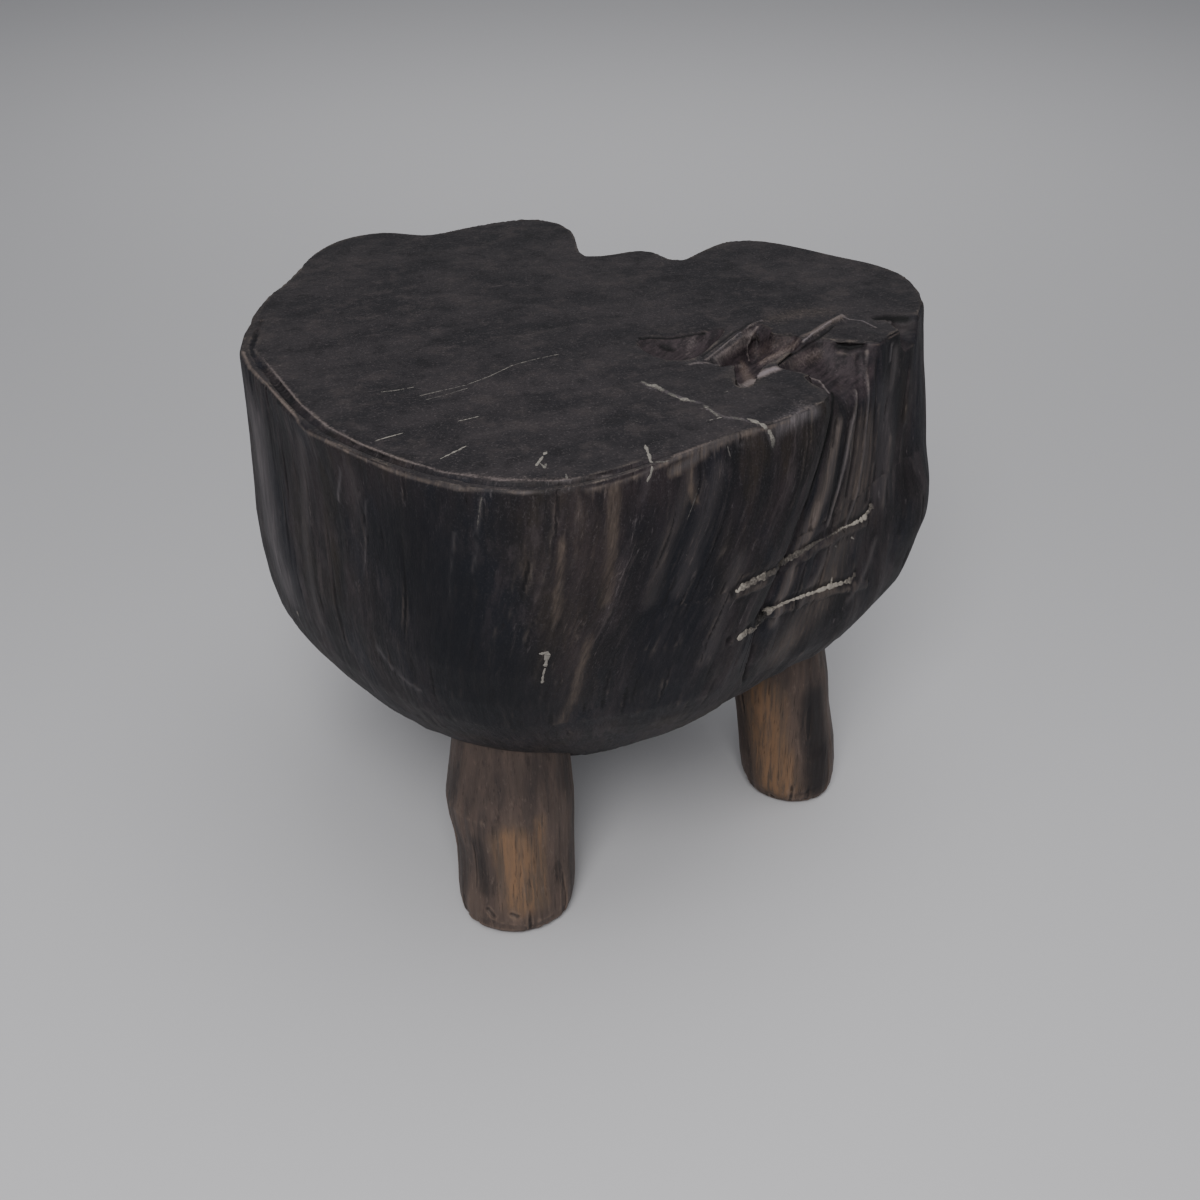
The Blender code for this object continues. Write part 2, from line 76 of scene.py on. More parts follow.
# How the grain beside the fold drifts round the trunk on its way down
TOP_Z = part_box("seat_block")[1].z
BLOCK_THICKNESS = TOP_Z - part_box("seat_block")[0].z
TRUNK_RADIUS = 175 * MM
FOLD_TURN = math.radians(-35)
FOLD_SWING = math.radians(-20)
FOLD_REACH = math.radians(86)
DRIFT_DOWN_SHARES = (0, 0.06, 0.13, 0.21, 0.30, 0.39, 0.48, 0.56, 1)
DRIFT_SHARES = (0, 0.05, 0.17, 0.40, 0.63, 0.84, 0.94, 0.98, 1)

# Crack down the fold, in pixels from the seat down. Where the lobes close up, the wood on its right is pushed
# in and a narrow slit runs beside it
CRACK_PIXELS = (
    (830, 389), (832, 398), (831, 412), (827, 432), (821, 455), (813, 480),
    (807, 500), (798, 522), (787, 552), (779, 570), (769, 592), (765, 604),
    (760, 616), (755, 634), (751, 652), (746, 668), (740, 688),
)
CRACK_INSET_MM, CRACK_INSET_REACH_MM = 2.4, 5.0
CRACK_SLIT_MM, CRACK_SLIT_WIDTH_MM, CRACK_SLIT_PLACE_MM = 3.2, 0.75, 0.55
CRACK_SLIT_START_MM, CRACK_INSET_START_MM = -0.3, 0.6
CRACK_CLOSED_ROW, CRACK_CLOSING_ROWS = 490, 40
# How strongly the slit is painted dark as its shadow, and below what share of the crack the mesh may be
# thinned
SLIT_SHADE, CRACKED_LEAST = 1.3, 0.1
CRACK_FADE_SHARES = (0.04, 0.08)
PIXEL_MM = 0.5

# Where the crack lies, and how near to it the mesh stays fine and no edge is worn
CRACK_QUARTER = 30 * MM
CRACK_FINE_MM = 3
CRACK_UNWORN_MM = (4, 1.5)

# The front lobe's edge: row, column and how many pixels it is drawn over the crack
LIP = np.array((
    (384, 822, 0), (392, 830.2, 0.5), (400, 833.6, -1.8), (412, 830, 1), (424, 826.6, 2),
    (436, 822.7, 3.2), (448, 818.8, 4), (460, 814.9, 4.5), (472, 810.8, 4.8), (484, 805.8, 6),
    (496, 800.7, 7), (508, 795.7, 7.5), (520, 791.1, 7.5), (532, 786.6, 7.5), (544, 781.2, 8),
    (556, 776.7, 7.5), (568, 772.9, 6), (590, 766, 3),
))
LIP_REACH_PIXELS = (28, 7)
LIP_BACK_PIXELS = 1.5
LIP_FADE_ROWS = 30
LIP_REACH = 12 * MM
LIP_DEPTH_SHARE = 1.3

# Lines along which crisp edges have worn away, the reach in mm and how far
MELT = 9 * MM
MELT_FALL = 0.5
SOFT_LINES = (
    (((836, 402), (848, 398), (862, 393), (876, 388), (888, 380)), 17, 1),
    (((650, 345), (672, 346), (695, 346), (712, 340)), 13, 0.8),
    (((746, 330), (757, 322), (764, 330)), 8, 0.9),
    (((735, 340), (760, 350), (790, 345)), 9, 0.35),
    (((714, 362), (728, 358), (742, 352)), 8, 0.85),
    (((800, 345), (812, 352), (822, 350)), 10, 0.5),
    (((822, 386), (829, 392), (832, 402)), 7, 0.3),
    (((876, 316), (890, 314), (906, 318)), 6, 0.6),
)

# Lines along which the right lobe swells, the reach and the most in mm
LOBE_SWELLS = (
    (((912, 335), (915, 400), (914, 470)), 44, 3),
    (((902, 525), (885, 565), (858, 598), (832, 622)), 52, 8.5),
)

# Lines along which the copy is twice as fine, and the reach in mm
FINE_LINES = (
    (((832, 398), (821, 455), (798, 522), (770, 592), (741, 662)), 10),
    (((650, 350), (700, 352), (745, 365), (785, 360), (830, 360), (870, 350), (900, 335)), 26),
    (((246, 360), (300, 430), (380, 472), (480, 492), (570, 492), (650, 476), (720, 450), (800, 424)), 8),
    (((645, 384), (705, 408), (765, 428), (772, 446)), 4),
)

# The torn wood of the hollows: a line through them, its reach, and how softly it ends
TORN_PIXELS = ((650, 346), (700, 350), (745, 362), (785, 352), (815, 356), (850, 352), (885, 338))
TORN_REACH = 34 * MM
TORN_FALL = 0.4

# Rounds of evening out for the torn wood, for the rest, and for finding edges and hollows
TORN_ROUNDS, EVEN_ROUNDS, PLAIN_EDGE_ROUNDS, EDGE_ROUNDS = 5, 2, 6, 5
PLAIN_EDGE_SIZE, EDGE_SIZE = 0.50 * MM, 0.16 * MM

# The flat top and the torn wood: how deep under the seat, and how level, each begins and is whole
TOP_DEPTHS, TOP_LEVELS = (1.3 * MM, 0.3 * MM), (0.80, 0.95)
TORN_DEPTHS, TORN_LEVELS = (0.5 * MM, 1.5 * MM), (0.15, 0.45)

# Where the copy is evened out most: torn more than this, this deep and less in the lip
CALM_TORN, CALM_DEPTH, CALM_LIP = 0.3, 0.6 * MM, 0.3

# How much unevenness is lost in the torn wood and in the lip, and how much of the hollows' dust and painted
# shade is lost in the torn wood
TORN_LOSS, LIP_LOSS, HOLLOW_LOSS = 0.8, 0.75, 0.6

# Worn edges: the middle strength and the size of what breaks them, and how much a wide edge counts
EDGE_MIDDLE, EDGE_BREAK_SIZE, PLAIN_EDGE_SHARE = 0.45, 5 * MM, 0.6

# The legs, how wide the plain wood round each is, and the height below which it counts
LEGS = ("leg_front", "leg_right", "leg_back")
LEG_CLEAR, LEG_CLEAR_HEIGHT = 6 * MM, 170 * MM

# Where the right lobe rises and where it falls back, in degrees round the trunk
LOBE_RISES, LOBE_FALLS = (-62, -48), (32, 8)

# Unevenness: the stretch along each axis, the size and the height of the bumps in mm, and the seed
HEWN_SIDE = (((1, 1, 0.6), 46, 0.9, 1), ((1, 1, 0.7), 17, 0.3, 2))
SIDE_FIBRES = (((1, 1, 0.12), 2.4, 0.18, 5), ((1, 1, 0.2), 1.5, 0.10, 10))
WORN_FLAT = (((1, 1, 1), 55, 0.22, 7), ((1, 1, 1), 9, 0.06, 12))
DRAWN_FLAT = (((0.12, 1, 1), 6, 0.05, 8),)
TORN_FIBRES = (((0.2, 1, 1), 2.6, 0.30, 11),)
LEG_BUMPS = (((1, 1, 0.5), 22, 0.8, 0), ((1, 1, 0.07), 6, 0.40, 1), ((1, 1, 0.07), 2.6, 0.18, 2))

# Flutes along the grain: size and height in mm, how much higher they are on the right lobe, and the seed
FLUTE_STRETCH = (1, 1, 0.06)
FLUTES = ((11, 0.35, 0.7, 3), (5, 0.20, 0.45, 4))

# Checks along the grain: the stretch, the size and the depth in mm, the noise that opens one, and the seed
SIDE_CHECKS = ((1, 1, 0.09), 3, 0.4, 0.62, 6)
LEG_CHECKS = ((1, 1, 0.06), 3.6, 0.6, 0.5, 3)
CHECK_RANGE = 0.2

# A leg is fully uneven below this height, and above it only by a share. Its foot stays flat
LEG_SHOWN, LEG_FADE, LEG_HIDDEN_SHARE = 70 * MM, 20 * MM, 0.25
FOOT_HEIGHT = 3 * MM

# Marks on the block: pixels of the photograph, half width and height in mm, how light, tan, dark and blue
BLOCK_MARKS = {
    # Painted shade: the dark line and spot of hollow 1
    "hollow_1_shadow_line": (((640, 338), (650, 337), (672, 338), (705, 333)), 1.5, -0.6, 0, 0, 1),
    "hollow_1_shade_spot": (((663, 346), (672, 349)), 3.6, -0.7, 0, 0, 0.8),
    "hollow_1_right": (((694, 338), (690, 350), (684, 362)), 6, 0, 0.4),
    "ridge_1_crest": (((762, 321), (748, 328), (735, 338), (720, 350), (705, 361)), 1.1, 1, 1, 0.3),
    "ridge_1_shadow": (((750, 323), (734, 332), (718, 344), (702, 356)), 1.3, -0.5, 0, 0, 0.7),
    "ridge_1_foot": (((690, 365), (700, 362), (712, 364)), 2, 0.2, 0.7, 0.1),
    "hollow_2_pink": (((716, 358), (728, 350), (742, 342), (750, 334)), 6.5, 0.8, 0.7, 0.4),
    "hollow_2_arc": (((757, 328), (750, 336), (746, 346), (749, 360)), 1.3, 0.5, 1, 0.2),
    "hollow_2_bowl": (((756, 352), (772, 346), (788, 340)), 9, -0.3, 0.2, 0.45),
    # Painted shadow along the top of hollow 2
    "hollow_2_shadow_line": (((752, 342), (770, 338), (790, 335)), 1.4, -0.4, 0, 0, 0.7),
    "chute": (((744, 366), (748, 376), (752, 384)), 6, 0, 0.5, 0.9),
    "chute_facet": (((741, 386), (745, 384), (749, 382), (753, 380), (757, 377), (761, 375), (765, 373),
        (769, 371), (776, 369)), 4.6, 0.3, 1.4, 1.2),
    "flap_edge": (((773, 368), (802, 373), (819, 380), (829, 392)), 1.4, 0.3, 1.1, 0.3),
    "flap_back": (((690, 364), (715, 364), (742, 366)), 1.5, 0.3, 1, 0.2),
    "ridge_2_crest": (((842, 318), (826, 326), (812, 335), (798, 344), (780, 355), (762, 364)),
        4.2, 1.6, 0.6, 0.8),
    "ridge_2_edge": (((842, 317), (828, 326), (815, 335), (803, 342)), 1.1, 0.4, 1.2, 0.4),
    "ridge_2_shadow": (((834, 327), (820, 337), (806, 346), (792, 355), (778, 364)), 1.5, -0.6, 0, 0, 0.85),
    "ridge_2_back": (((775, 318), (800, 313), (826, 312)), 16, 0, 0.2, 0.45),
    "hollow_3_pink": (((792, 364), (806, 358), (818, 354)), 7, 0, 0.45, 0.5),
    # Painted shade deep in hollow 3
    "hollow_3_deep_shade": (((792, 352), (806, 346), (820, 344)), 4, -0.5, 0, 0, 0.5),
    "knob": (((838, 330), (856, 330), (872, 336)), 7, 1.4, 0.12),
    # The knob's hole is sunk and painted dark as its shadow
    "knob_hole_shadow": (((838, 345), (850, 347), (861, 345)), 4, -2.6, 0, 0, 1),
    "knob_rim": (((842, 319), (862, 321), (876, 328)), 1.3, 0.3, 0.9),
    # The far recess is sunk and painted dark as shade
    "far_recess_shade": (((877, 318), (890, 317), (905, 318)), 4.5, -1.2, 0, 0, 1.2),
    "strip_by_crack": (((839, 425), (832, 460), (823, 495), (812, 522), (800, 548)), 9, 0.5, 0.7, 1),
    "flute_crest_1": (((856, 392), (852, 425), (846, 460), (839, 490), (828, 524)), 2.6, 0.8, 0.9, 0.2),
    # Flute valleys: sunk, with dark painted in them as shade and some tan and blue tone
    "flute_valley_1": (((840, 385), (836, 425), (828, 462), (819, 500)), 4, -0.9, 0, 0.3, 0.3),
    "flute_valley_2": (((860, 355), (860, 400), (856, 450), (848, 495)), 3, -0.8, 0, 0, 0.35, 0.2),
    "flute_crest_2": (((867, 352), (868, 400), (864, 450), (858, 490), (848, 525)), 2.2, 0.7, 0.8),
    # Flute valley: sunk, with dark painted in it as shade and a little blue tone
    "flute_valley_3": (((876, 340), (877, 400), (873, 460), (867, 500)), 3.4, -0.8, 0, 0, 0.35, 0.2),
    "flute_crest_3": (((890, 322), (892, 345), (890, 360)), 2.6, 0.7, 0.8, 0.1),
    "flute_pink": (((896, 350), (894, 370), (890, 388)), 6, 0.4, 0.6, 0.5),
    "flute_blue": (((898, 395), (895, 425)), 11, -0.4, 0, 0, 0.3, 0.6),
    "flute_crest_4": (((888, 438), (886, 470), (881, 505)), 5, 0.6, 0.55, 0.5),
    # Flute valley: sunk, with dark painted in it as shade and a little blue tone
    "flute_valley_4": (((904, 430), (904, 480), (900, 530)), 5, -0.6, 0, 0, 0.4, 0.2),
    "right_lobe": (((864, 440), (860, 480), (846, 530), (828, 580), (800, 625), (780, 650)),
        30, 0, 0.4, 0.75),
    "lobe_lilac": (((884, 396), (886, 440), (882, 490)), 24, 0, 0.5),
    "below_staple_1": (((830, 545), (818, 575), (800, 605)), 6, 0.5, 0.6, 0.7),
    "below_staple_2": (((875, 540), (866, 570), (848, 600)), 5, 0.4, 0.55, 0.5),
    "between_staples": (((792, 570), (782, 596), (774, 620)), 8, 0.3, 0.8, 1.1),
    "lilac_patch": (((780, 428), (792, 422), (806, 414), (816, 412)), 8, 0, 0.8),
    "rim_patch": (((675, 456), (700, 447), (730, 438), (757, 430)), 2.4, 0, 0.6, 0.8),
    "light_patch": (((738, 446), (752, 443)), 2.6, 0, 0.5, 0.2),
    "tan_chip": (((672, 472), (690, 462), (705, 452)), 4.6, -0.3, 0.7, 1.6),
    "tan_run": (((690, 465), (689, 482), (696, 500)), 3.8, -0.2, 0.4, 1.4),
    "stain": (((646, 446), (650, 462), (652, 476), (642, 500)), 3.2, 0, 0.35, 0.15),
    "tan_streak_1": (((616, 492), (612, 540), (604, 600)), 7, 0, 0.1, 0.9),
    "tan_streak_2": (((588, 640), (577, 680), (562, 722)), 5.5, 0, 0.25, 0.9),
    "tan_streak_3": (((562, 545), (560, 575), (556, 618)), 5, 0, 0.2, 0.9),
    "olive_zone": (((572, 500), (590, 540), (598, 580)), 22, 0, 0, 0.45),
    "brown_zone": (((540, 560), (570, 620), (576, 700)), 24, 0, 0, 0.4),
    "check_dust_1": (((643, 383), (664, 391), (688, 400), (700, 403)), 2.4, 0, 0.8, 0.1),
    "check_dust_2": (((706, 408), (722, 417), (740, 419), (766, 428), (773, 446)), 2.4, 0, 0.7, 0.1),
    "staple_dust": (((736, 592), (757, 579), (775, 570)), 3.6, 0, 0.6, 0.3),
    "pale_run_1": (((365, 500), (364, 560), (363, 663)), 1.8, 0.1, 0.65),
    "pale_run_2": (((455, 532), (450, 590), (446, 690)), 1.6, 0.1, 0.55),
    "pale_run_4": (((345, 430), (340, 470), (338, 500)), 2, 0.1, 0.8, 0.1),
    "pale_run_5": (((372, 640), (392, 668), (420, 690)), 3, 0, 0.8, 0.1),
    # Painted light: a pale patch where glancing light falls on the left flank
    "left_flank_painted_light": (((256, 425), (262, 480), (272, 540), (284, 580)), 34, 0, 0.85, 0.2),
    "left_streak_1": (((300, 440), (306, 540), (322, 620)), 10, 0, 0.5, 0.4),
    "left_streak_2": (((350, 470), (356, 580), (366, 650)), 8, 0, 0.25, 0.3),
    "pink_streak": (((482, 497), (478, 530), (473, 573)), 1.9, 0, 0.55, 0.4),
    # Blue-black tone, and painted shade darkening the lower bowl
    "blue_middle_and_low_shade": (((420, 560), (450, 650), (505, 710)), 60, 0, 0, 0, 0.5, 0.9),
    "blue_left": (((400, 520), (410, 600), (430, 680)), 30, 0, 0, 0, 0.3, 0.5),
    "blue_right": (((690, 540), (675, 620), (650, 700)), 44, 0, 0, 0, 0.2, 0.8),
    "violet_streak_1": (((718, 470), (700, 530), (680, 590)), 11, 0.3, 0.4, 0.35),
    "violet_streak_2": (((690, 480), (668, 540), (650, 600)), 10, 0.3, 0.4, 0.5),
    "violet_streak_3": (((740, 560), (722, 610), (705, 660)), 10, 0.3, 0.45, 0.35),
    "rim_line": (((243, 352), (250, 368), (265, 384), (293, 413), (305, 431), (328, 442), (354, 455),
        (384, 468), (410, 477), (460, 489), (523, 493), (595, 489), (636, 477), (675, 459),
        (720, 444), (757, 431), (790, 421)), 1.7, 0, 0.7, 1.1),
    "groove_line": (((254, 350), (272, 369), (300, 404), (328, 427), (361, 444), (398, 458), (443, 472),
        (500, 480), (560, 481), (610, 475), (650, 470)), 1.3, 0, 0.8, 0.8),
}

# Marks on the legs, in the same way
LEG_MARKS = {
    "leg_front": {
        "ochre_patch": (((512, 845), (519, 870), (524, 900)), 21, -0.3, 0.1, 1.15),
        "ochre_side": (((540, 820), (543, 880), (544, 905)), 8, -0.2, 0.2, 0.7),
        # Painted shadow of the seat over the leg's top
        "shadow_under_seat": (((462, 776), (510, 782), (558, 776)), 34, 0, 0, 0, 0.42),
        "dark_left": (((474, 840), (480, 870), (484, 892)), 8, 0, 0, 0, 0.6),
        "dark_right": (((556, 800), (560, 850), (558, 890)), 6, 0, 0.1, 0, 0.3),
        "foot_rim": (((466, 906), (490, 922), (525, 929), (552, 918)), 4, -0.4, 0.25, 0.2),
        "chip_1": (((488, 910), (493, 916)), 2.6, -0.8, 0.8, 0.4),
        "chip_2": (((512, 915), (518, 917)), 2.2, -0.8, 0.8, 0.4),
    },
    "leg_right": {
        "ochre_patch": (((760, 695), (766, 740), (778, 785)), 24, -0.3, 0.2, 1.3),
        "ochre_middle": (((785, 700), (788, 745), (790, 790)), 7, -0.2, 0.1, 0.5),
        "dark_side": (((815, 700), (820, 750), (818, 785)), 20, 0, 0, 0, 1),
        "knot": (((811, 748), (814, 753)), 8, -1.2, 0, 0, 0.75),
        "foot_rim": (((760, 790), (788, 798), (812, 790)), 3.5, -0.4, 0.2, 0.25),
    },
    "leg_back": {},
}

# Staples: pixels along each, its half width there in mm and how bare and pale it is
STAPLE_LINES = {
    "staple_upper": (
        ((735, 592), 1.5, 1.1), ((741, 588), 1.7, 0.8), ((750, 583), 1.7, 0.45), ((759, 578), 1.6, 0.65),
        ((768, 574), 1.4, 0.45), ((778, 566), 1.1, 0.35), ((788, 559), 1.8, 0.55), ((799, 553), 1.4, 0.5),
        ((815, 543), 0.7, 0.35), ((830, 536), 0.6, 0.3), ((842, 528), 0.8, 0.8), ((853, 524), 0.9, 1),
        ((864, 518), 1.4, 0.9), ((869, 511), 1.9, 0.6), ((872, 504), 2.1, 0.4),
    ),
    "staple_lower": (
        ((737, 639), 1.6, 1), ((747, 631), 1.9, 0.6), ((757, 623), 1.9, 0.6), ((766, 612), 1.5, 0.7),
        ((782, 604), 0.8, 0.85), ((800, 597), 0.8, 1), ((815, 592), 0.8, 1), ((828, 587), 1.2, 1),
        ((842, 583), 1, 0.8), ((851, 580), 1.5, 0.5), ((855, 573), 1.5, 0.4),
    ),
}
STAPLE_SPIKE = (((833, 588), 0.8, 0.8), ((832, 577), 0.7, 0.8))

# Crumbs of pale filler and bare scratches: pixels, the half width in mm and how pale
PALE_LINES = {
    "rim_scratch_left": (((375, 441), (388, 437), (403, 433)), 0.42, 1),
    "rim_scratch_low": (((440, 459), (452, 453), (466, 446)), 0.45, 1),
    "scratch_end": (((458, 451), (462, 448)), 0.60, 0.8),
    "white_chip_1": (((536, 466), (541, 459), (547, 451)), 0.75, 0.9),
    "white_chip_2": (((540, 463), (545, 468), (546, 463)), 0.55, 0.7),
    "white_chip_3": (((566, 474), (567, 479)), 0.45, 0.6),
    "stain_top": (((645, 445), (649, 455), (652, 463)), 0.75, 0.9),
    "stain_low": (((652, 466), (651, 474), (647, 482)), 0.6, 0.8),
    "stain_right": (((655, 462), (664, 462), (670, 460)), 0.35, 0.7),
    "cream_chip": (((548, 652), (547, 658), (545, 667)), 2.1, 1),
    "cream_chip_low": (((545, 668), (543, 676), (542, 683)), 0.8, 1.1),
    "cream_chip_side": (((539, 654), (545, 653), (551, 652)), 0.7, 0.9),
    "white_spot": (((297, 611), (299, 617)), 0.80, 0.9),
    "branch": (((706, 421), (714, 419), (722, 417)), 0.4, 0.8),
    "speck_1": (((851, 537), (854, 539)), 0.75, 0.8),
    "speck_2": (((835, 546), (837, 547)), 0.50, 0.6),
    "speck_3": (((725, 392), (728, 391)), 0.42, 0.6),
    "speck_4": (((635, 421), (638, 422)), 0.40, 0.6),
    "speck_5": (((686, 554), (687, 556)), 0.40, 0.5),
    "streak_1": (((699, 488), (693, 505), (687, 520)), 0.26, 0.35),
    "streak_2": (((856, 400), (853, 430), (850, 460)), 0.26, 0.35),
    "streak_3": (((727, 443), (729, 452), (731, 458)), 0.34, 0.5),
    "streak_4": (((482, 497), (479, 512), (477, 530)), 0.30, 0.45),
    "hairline_1": (((381, 392), (398, 390), (414, 387)), 0.26, 0.9),
    "hairline_2": (((419, 396), (440, 391), (466, 385), (490, 376), (513, 365), (540, 358),
        (560, 354)), 0.24, 0.75),
    "hairline_3": (((425, 400), (445, 395), (468, 388)), 0.2, 0.6),
    "specks": (((458, 421), (468, 419), (480, 416)), 0.3, 0.9),
}

# Filler in the check: pixels, each with the half width in mm and how pale
FILLER_LINES = (
    (((641, 381), 0.6, 0.5), ((648, 385), 1.1, 0.7), ((656, 386), 1.1, 0.8), ((664, 391), 0.8, 0.6)),
    (((668, 393), 0.6, 0.5), ((681, 399), 1, 0.8), ((688, 400), 1.1, 0.8), ((696, 402), 0.6, 0.5)),
    (((703, 405), 0.5, 0.4), ((708, 408), 0.8, 0.6), ((714, 413), 0.8, 0.6), ((720, 417), 0.6, 0.5)),
    (((730, 416), 0.4, 0.5), ((738, 419), 0.6, 0.5), ((744, 420), 0.4, 0.4)),
    (((747, 418), 0.6, 0.6), ((753, 421), 0.9, 0.8), ((761, 424), 1, 0.9), ((767, 429), 1.1, 0.8)),
    (((768, 430), 1, 0.8), ((771, 434), 1.1, 0.8), ((773, 441), 1.1, 0.6), ((773, 448), 0.8, 0.4)),
)

# Beads of crust and paste: their step, the size of their unevenness and what it changes of width and depth,
# the steps in which they thin out, and the finer grit's share of size and height
BEAD_STEP, BEAD_UNEVEN_SIZE = 0.5 * MM, 1.7 * MM
BEAD_WIDTH_SHARE, BEAD_DEPTH_SHARE = 0.6, 0.35
BEAD_THIN_STEPS = 3
FINE_GRIT = (0.45, 0.6)

# How deep the beads lie in half widths, and how high and how large their grit is in mm
BAR_BEADS = (0.25, 0.22, 1.6)
CRUMB_BEADS = (0.45, 0.18, 0.9)

# The share of a bead's height that is left over the wood, and how deep and how pale bars and paste end
BEAD_HEIGHT_SHARE = 0.45
BED_DEPTH = 0.25 * MM
BED_PALE = 0.06

# Lights: kind, name, place, turn in degrees, size, power, and the cone of a spot in degrees
LIGHTS = (
    ("AREA", "key", (-0.15, -1.25, 1.35), (43, 0, -6), 0.8, 21, None),
    ("AREA", "overhead", (0.4, 0.2, 2.4), (-4, 0, 10), 1.8, 14, None),
    ("SPOT", "backdrop", (0, 0.7, 2.6), (35, 0, 0), 0.6, 110, 78),
    ("SPOT", "near_floor", (0, -0.75, 1.5), (15.5, 0, 0), 0.4, 25, 32),
)
FLOOR_RADIUS, FLOOR_DROP, FLOOR_ROUGHNESS = 9, 0.4 * MM, 0.9
SKY_STRENGTH = 0.42

# Which way the torn fibres run, and which way blade and sitting have drawn the flat top
TORN_TURN = math.radians(55)
TOP_STREAK_TURN = math.radians(29)

# Noise patterns of each wood: what they lie along, stretch, size in mm, detail and its roughness
TRUNK_PATTERNS = {
    "broad": ("grain", (1, 1, 0.22), 18, 4, 0.6),
    "fibre": ("grain", (1, 1, 0.14), 4, 5, 0.68),
    "hair": ("grain", (1, 1, 0.16), 1.3, 4, 0.72),
    "fleck": ("grain", (1, 1, 0.26), 2.4, 5, 0.75),
    "smudge": ("grain", (1, 1, 0.38), 11, 5, 0.68),
    "patch": ("place", (1, 1, 0.55), 34, 4, 0.55),
    "hue": ("place", (1, 1, 0.4), 36, 4, 0.6),
    "grit": ("place", (1, 1, 1), 1.1, 3, 0.75),
    "mottle": ("place", (1, 1, 1), 13, 5, 0.68),
    "broken": ("torn_fibres", (0.16, 1, 0.6), 3, 5, 0.7),
    "drawn": ("top_streaks", (0.16, 1, 1), 6, 5, 0.66),
    "cloud": ("top_streaks", (0.6, 1, 1), 34, 4, 0.6),
    "scuff": ("top_streaks", (0.4, 1, 1), 2.4, 5, 0.72),
}
LEG_PATTERNS = {
    "band": ("grain", (1, 1, 0.12), 9, 3, 0.55),
    "fibre": ("grain", (1, 1, 0.06), 3, 4, 0.65),
    "hair": ("grain", (1, 1, 0.05), 1.2, 3, 0.7),
    "fleck": ("grain", (1, 1, 0.3), 2, 5, 0.72),
    "smudge": ("grain", (1, 1, 0.25), 8, 5, 0.65),
}

# How roughness follows a pattern, and the strength and the height of the relief in each shader
GLOSS_RANGE = {"From Min": 0.3, "From Max": 0.7, "To Min": 0.52, "To Max": 0.70}
TRUNK_RELIEF = {"Strength": 0.6, "Distance": 0.6 * MM}
LEG_RELIEF = {"Strength": 0.5, "Distance": 0.5 * MM}
CRUST_RELIEF = {"Strength": 0.6, "Distance": 0.4 * MM}
TRUNK_SPECULAR, LEG_SPECULAR = 0.22, 0.32
HAIR_SHARE = 0.6

# What the red, green, blue and alpha of each stored colour hold
STORED_VALUES = {"marks": ("light", "tan", "dark", "blue"), "shape": ("top", "edge", "hollow_dust_and_shade", "torn")}

# Patches with ragged edges: the mark, the pattern that breaks it and how strongly
TRUNK_RAGGED = {"light_patch": ("light", "fleck", 1.4), "tan_patch": ("tan", "fleck", 1.4),
                "light_grit": ("light", "grit", 1.2), "tan_grit": ("tan", "grit", 1.2)}
LEG_RAGGED = {"tan_patch": ("tan", "smudge", 1.3), "light_patch": ("light", "fleck", 1.2)}

# Layers of colour, each with its most share and the ranges of the values that show it
SIDE_LAYERS = (
    ("#292224", 1, ("broad", 0.36, 0.66)),
    ("#12151f", 0.6, ("hue", 0.50, 0.64)),
    ("#2a231b", 0.55, ("hue", 0.47, 0.34)),
    ("#0e0d10", 0.65, ("patch", 0.48, 0.66)),
    ("#393234", 0.65, ("smudge", 0.50, 0.68)),
    ("#0d0c0f", 0.5, ("smudge", 0.44, 0.32)),
    ("#4b4343", 0.5, ("fibre", 0.54, 0.70), ("patch", 0.25, 0.6)),
    ("#6d6667", 0.5, ("fleck", 0.58, 0.70), ("patch", 0.28, 0.62)),
    ("#0b0a0c", 0.5, ("hair", 0.44, 0.30)),
    ("#4a4649", 0.35, ("grit", 0.54, 0.70)),
    ("#0b0a0d", 0.4, ("grit", 0.46, 0.30)),
    ("#10131c", 0.75, ("blue", 0, 1)),
    ("#3c332d", 0.6, ("tan", 0.1, 1.2)),
    ("#524e50", 0.9, ("light", 0.05, 1.15)),
    ("#5f534a", 0.9, ("tan_patch", 0.90, 2), ("fibre", 0.38, 0.64)),
    ("#787072", 0.9, ("light_patch", 1.1, 2.15), ("fibre", 0.40, 0.66)),
    ("#5d544e", 0.7, ("edge", 0, 1), ("fleck", 0.30, 0.6)),
    # Dust and painted shade: darker in the hollows
    ("#0b090b", 0.65, ("hollow_dust_and_shade", 0, 1)),
)
TORN_LAYERS = (
    ("#3a3134", 1, ("broken", 0.34, 0.64)),
    ("#5d5355", 0.4, ("grit", 0.56, 0.72)),
    ("#5a4b43", 0.8, ("tan_grit", 0.65, 1.9)),
    ("#857a77", 0.9, ("light_grit", 0.70, 2.1), ("broken", 0.2, 0.56)),
    ("#7a6c62", 0.5, ("edge", 0, 1)),
    # Dust and painted shade: darker in the hollows
    ("#120f11", 0.45, ("hollow_dust_and_shade", 0, 1)),
)
FLAT_LAYERS = (
    ("#2e2a2c", 1, ("cloud", 0.38, 0.62)),
    ("#3b3535", 0.6, ("mottle", 0.50, 0.66)),
    ("#121013", 0.6, ("mottle", 0.47, 0.33)),
    ("#3f3a39", 0.25, ("drawn", 0.55, 0.76)),
    ("#151315", 0.3, ("drawn", 0.43, 0.28)),
    ("#534d4e", 0.5, ("scuff", 0.56, 0.70), ("cloud", 0.70, 0.30)),
    ("#625b5b", 0.45, ("grit", 0.56, 0.70)),
    ("#100f11", 0.55, ("grit", 0.44, 0.32)),
    ("#67594e", 0.95, ("tan_grit", 0.70, 2)),
    ("#80777a", 0.95, ("light_grit", 0.75, 2.2)),
    ("#6a6058", 0.75, ("edge", 0, 1), ("grit", 0.25, 0.6)),
)
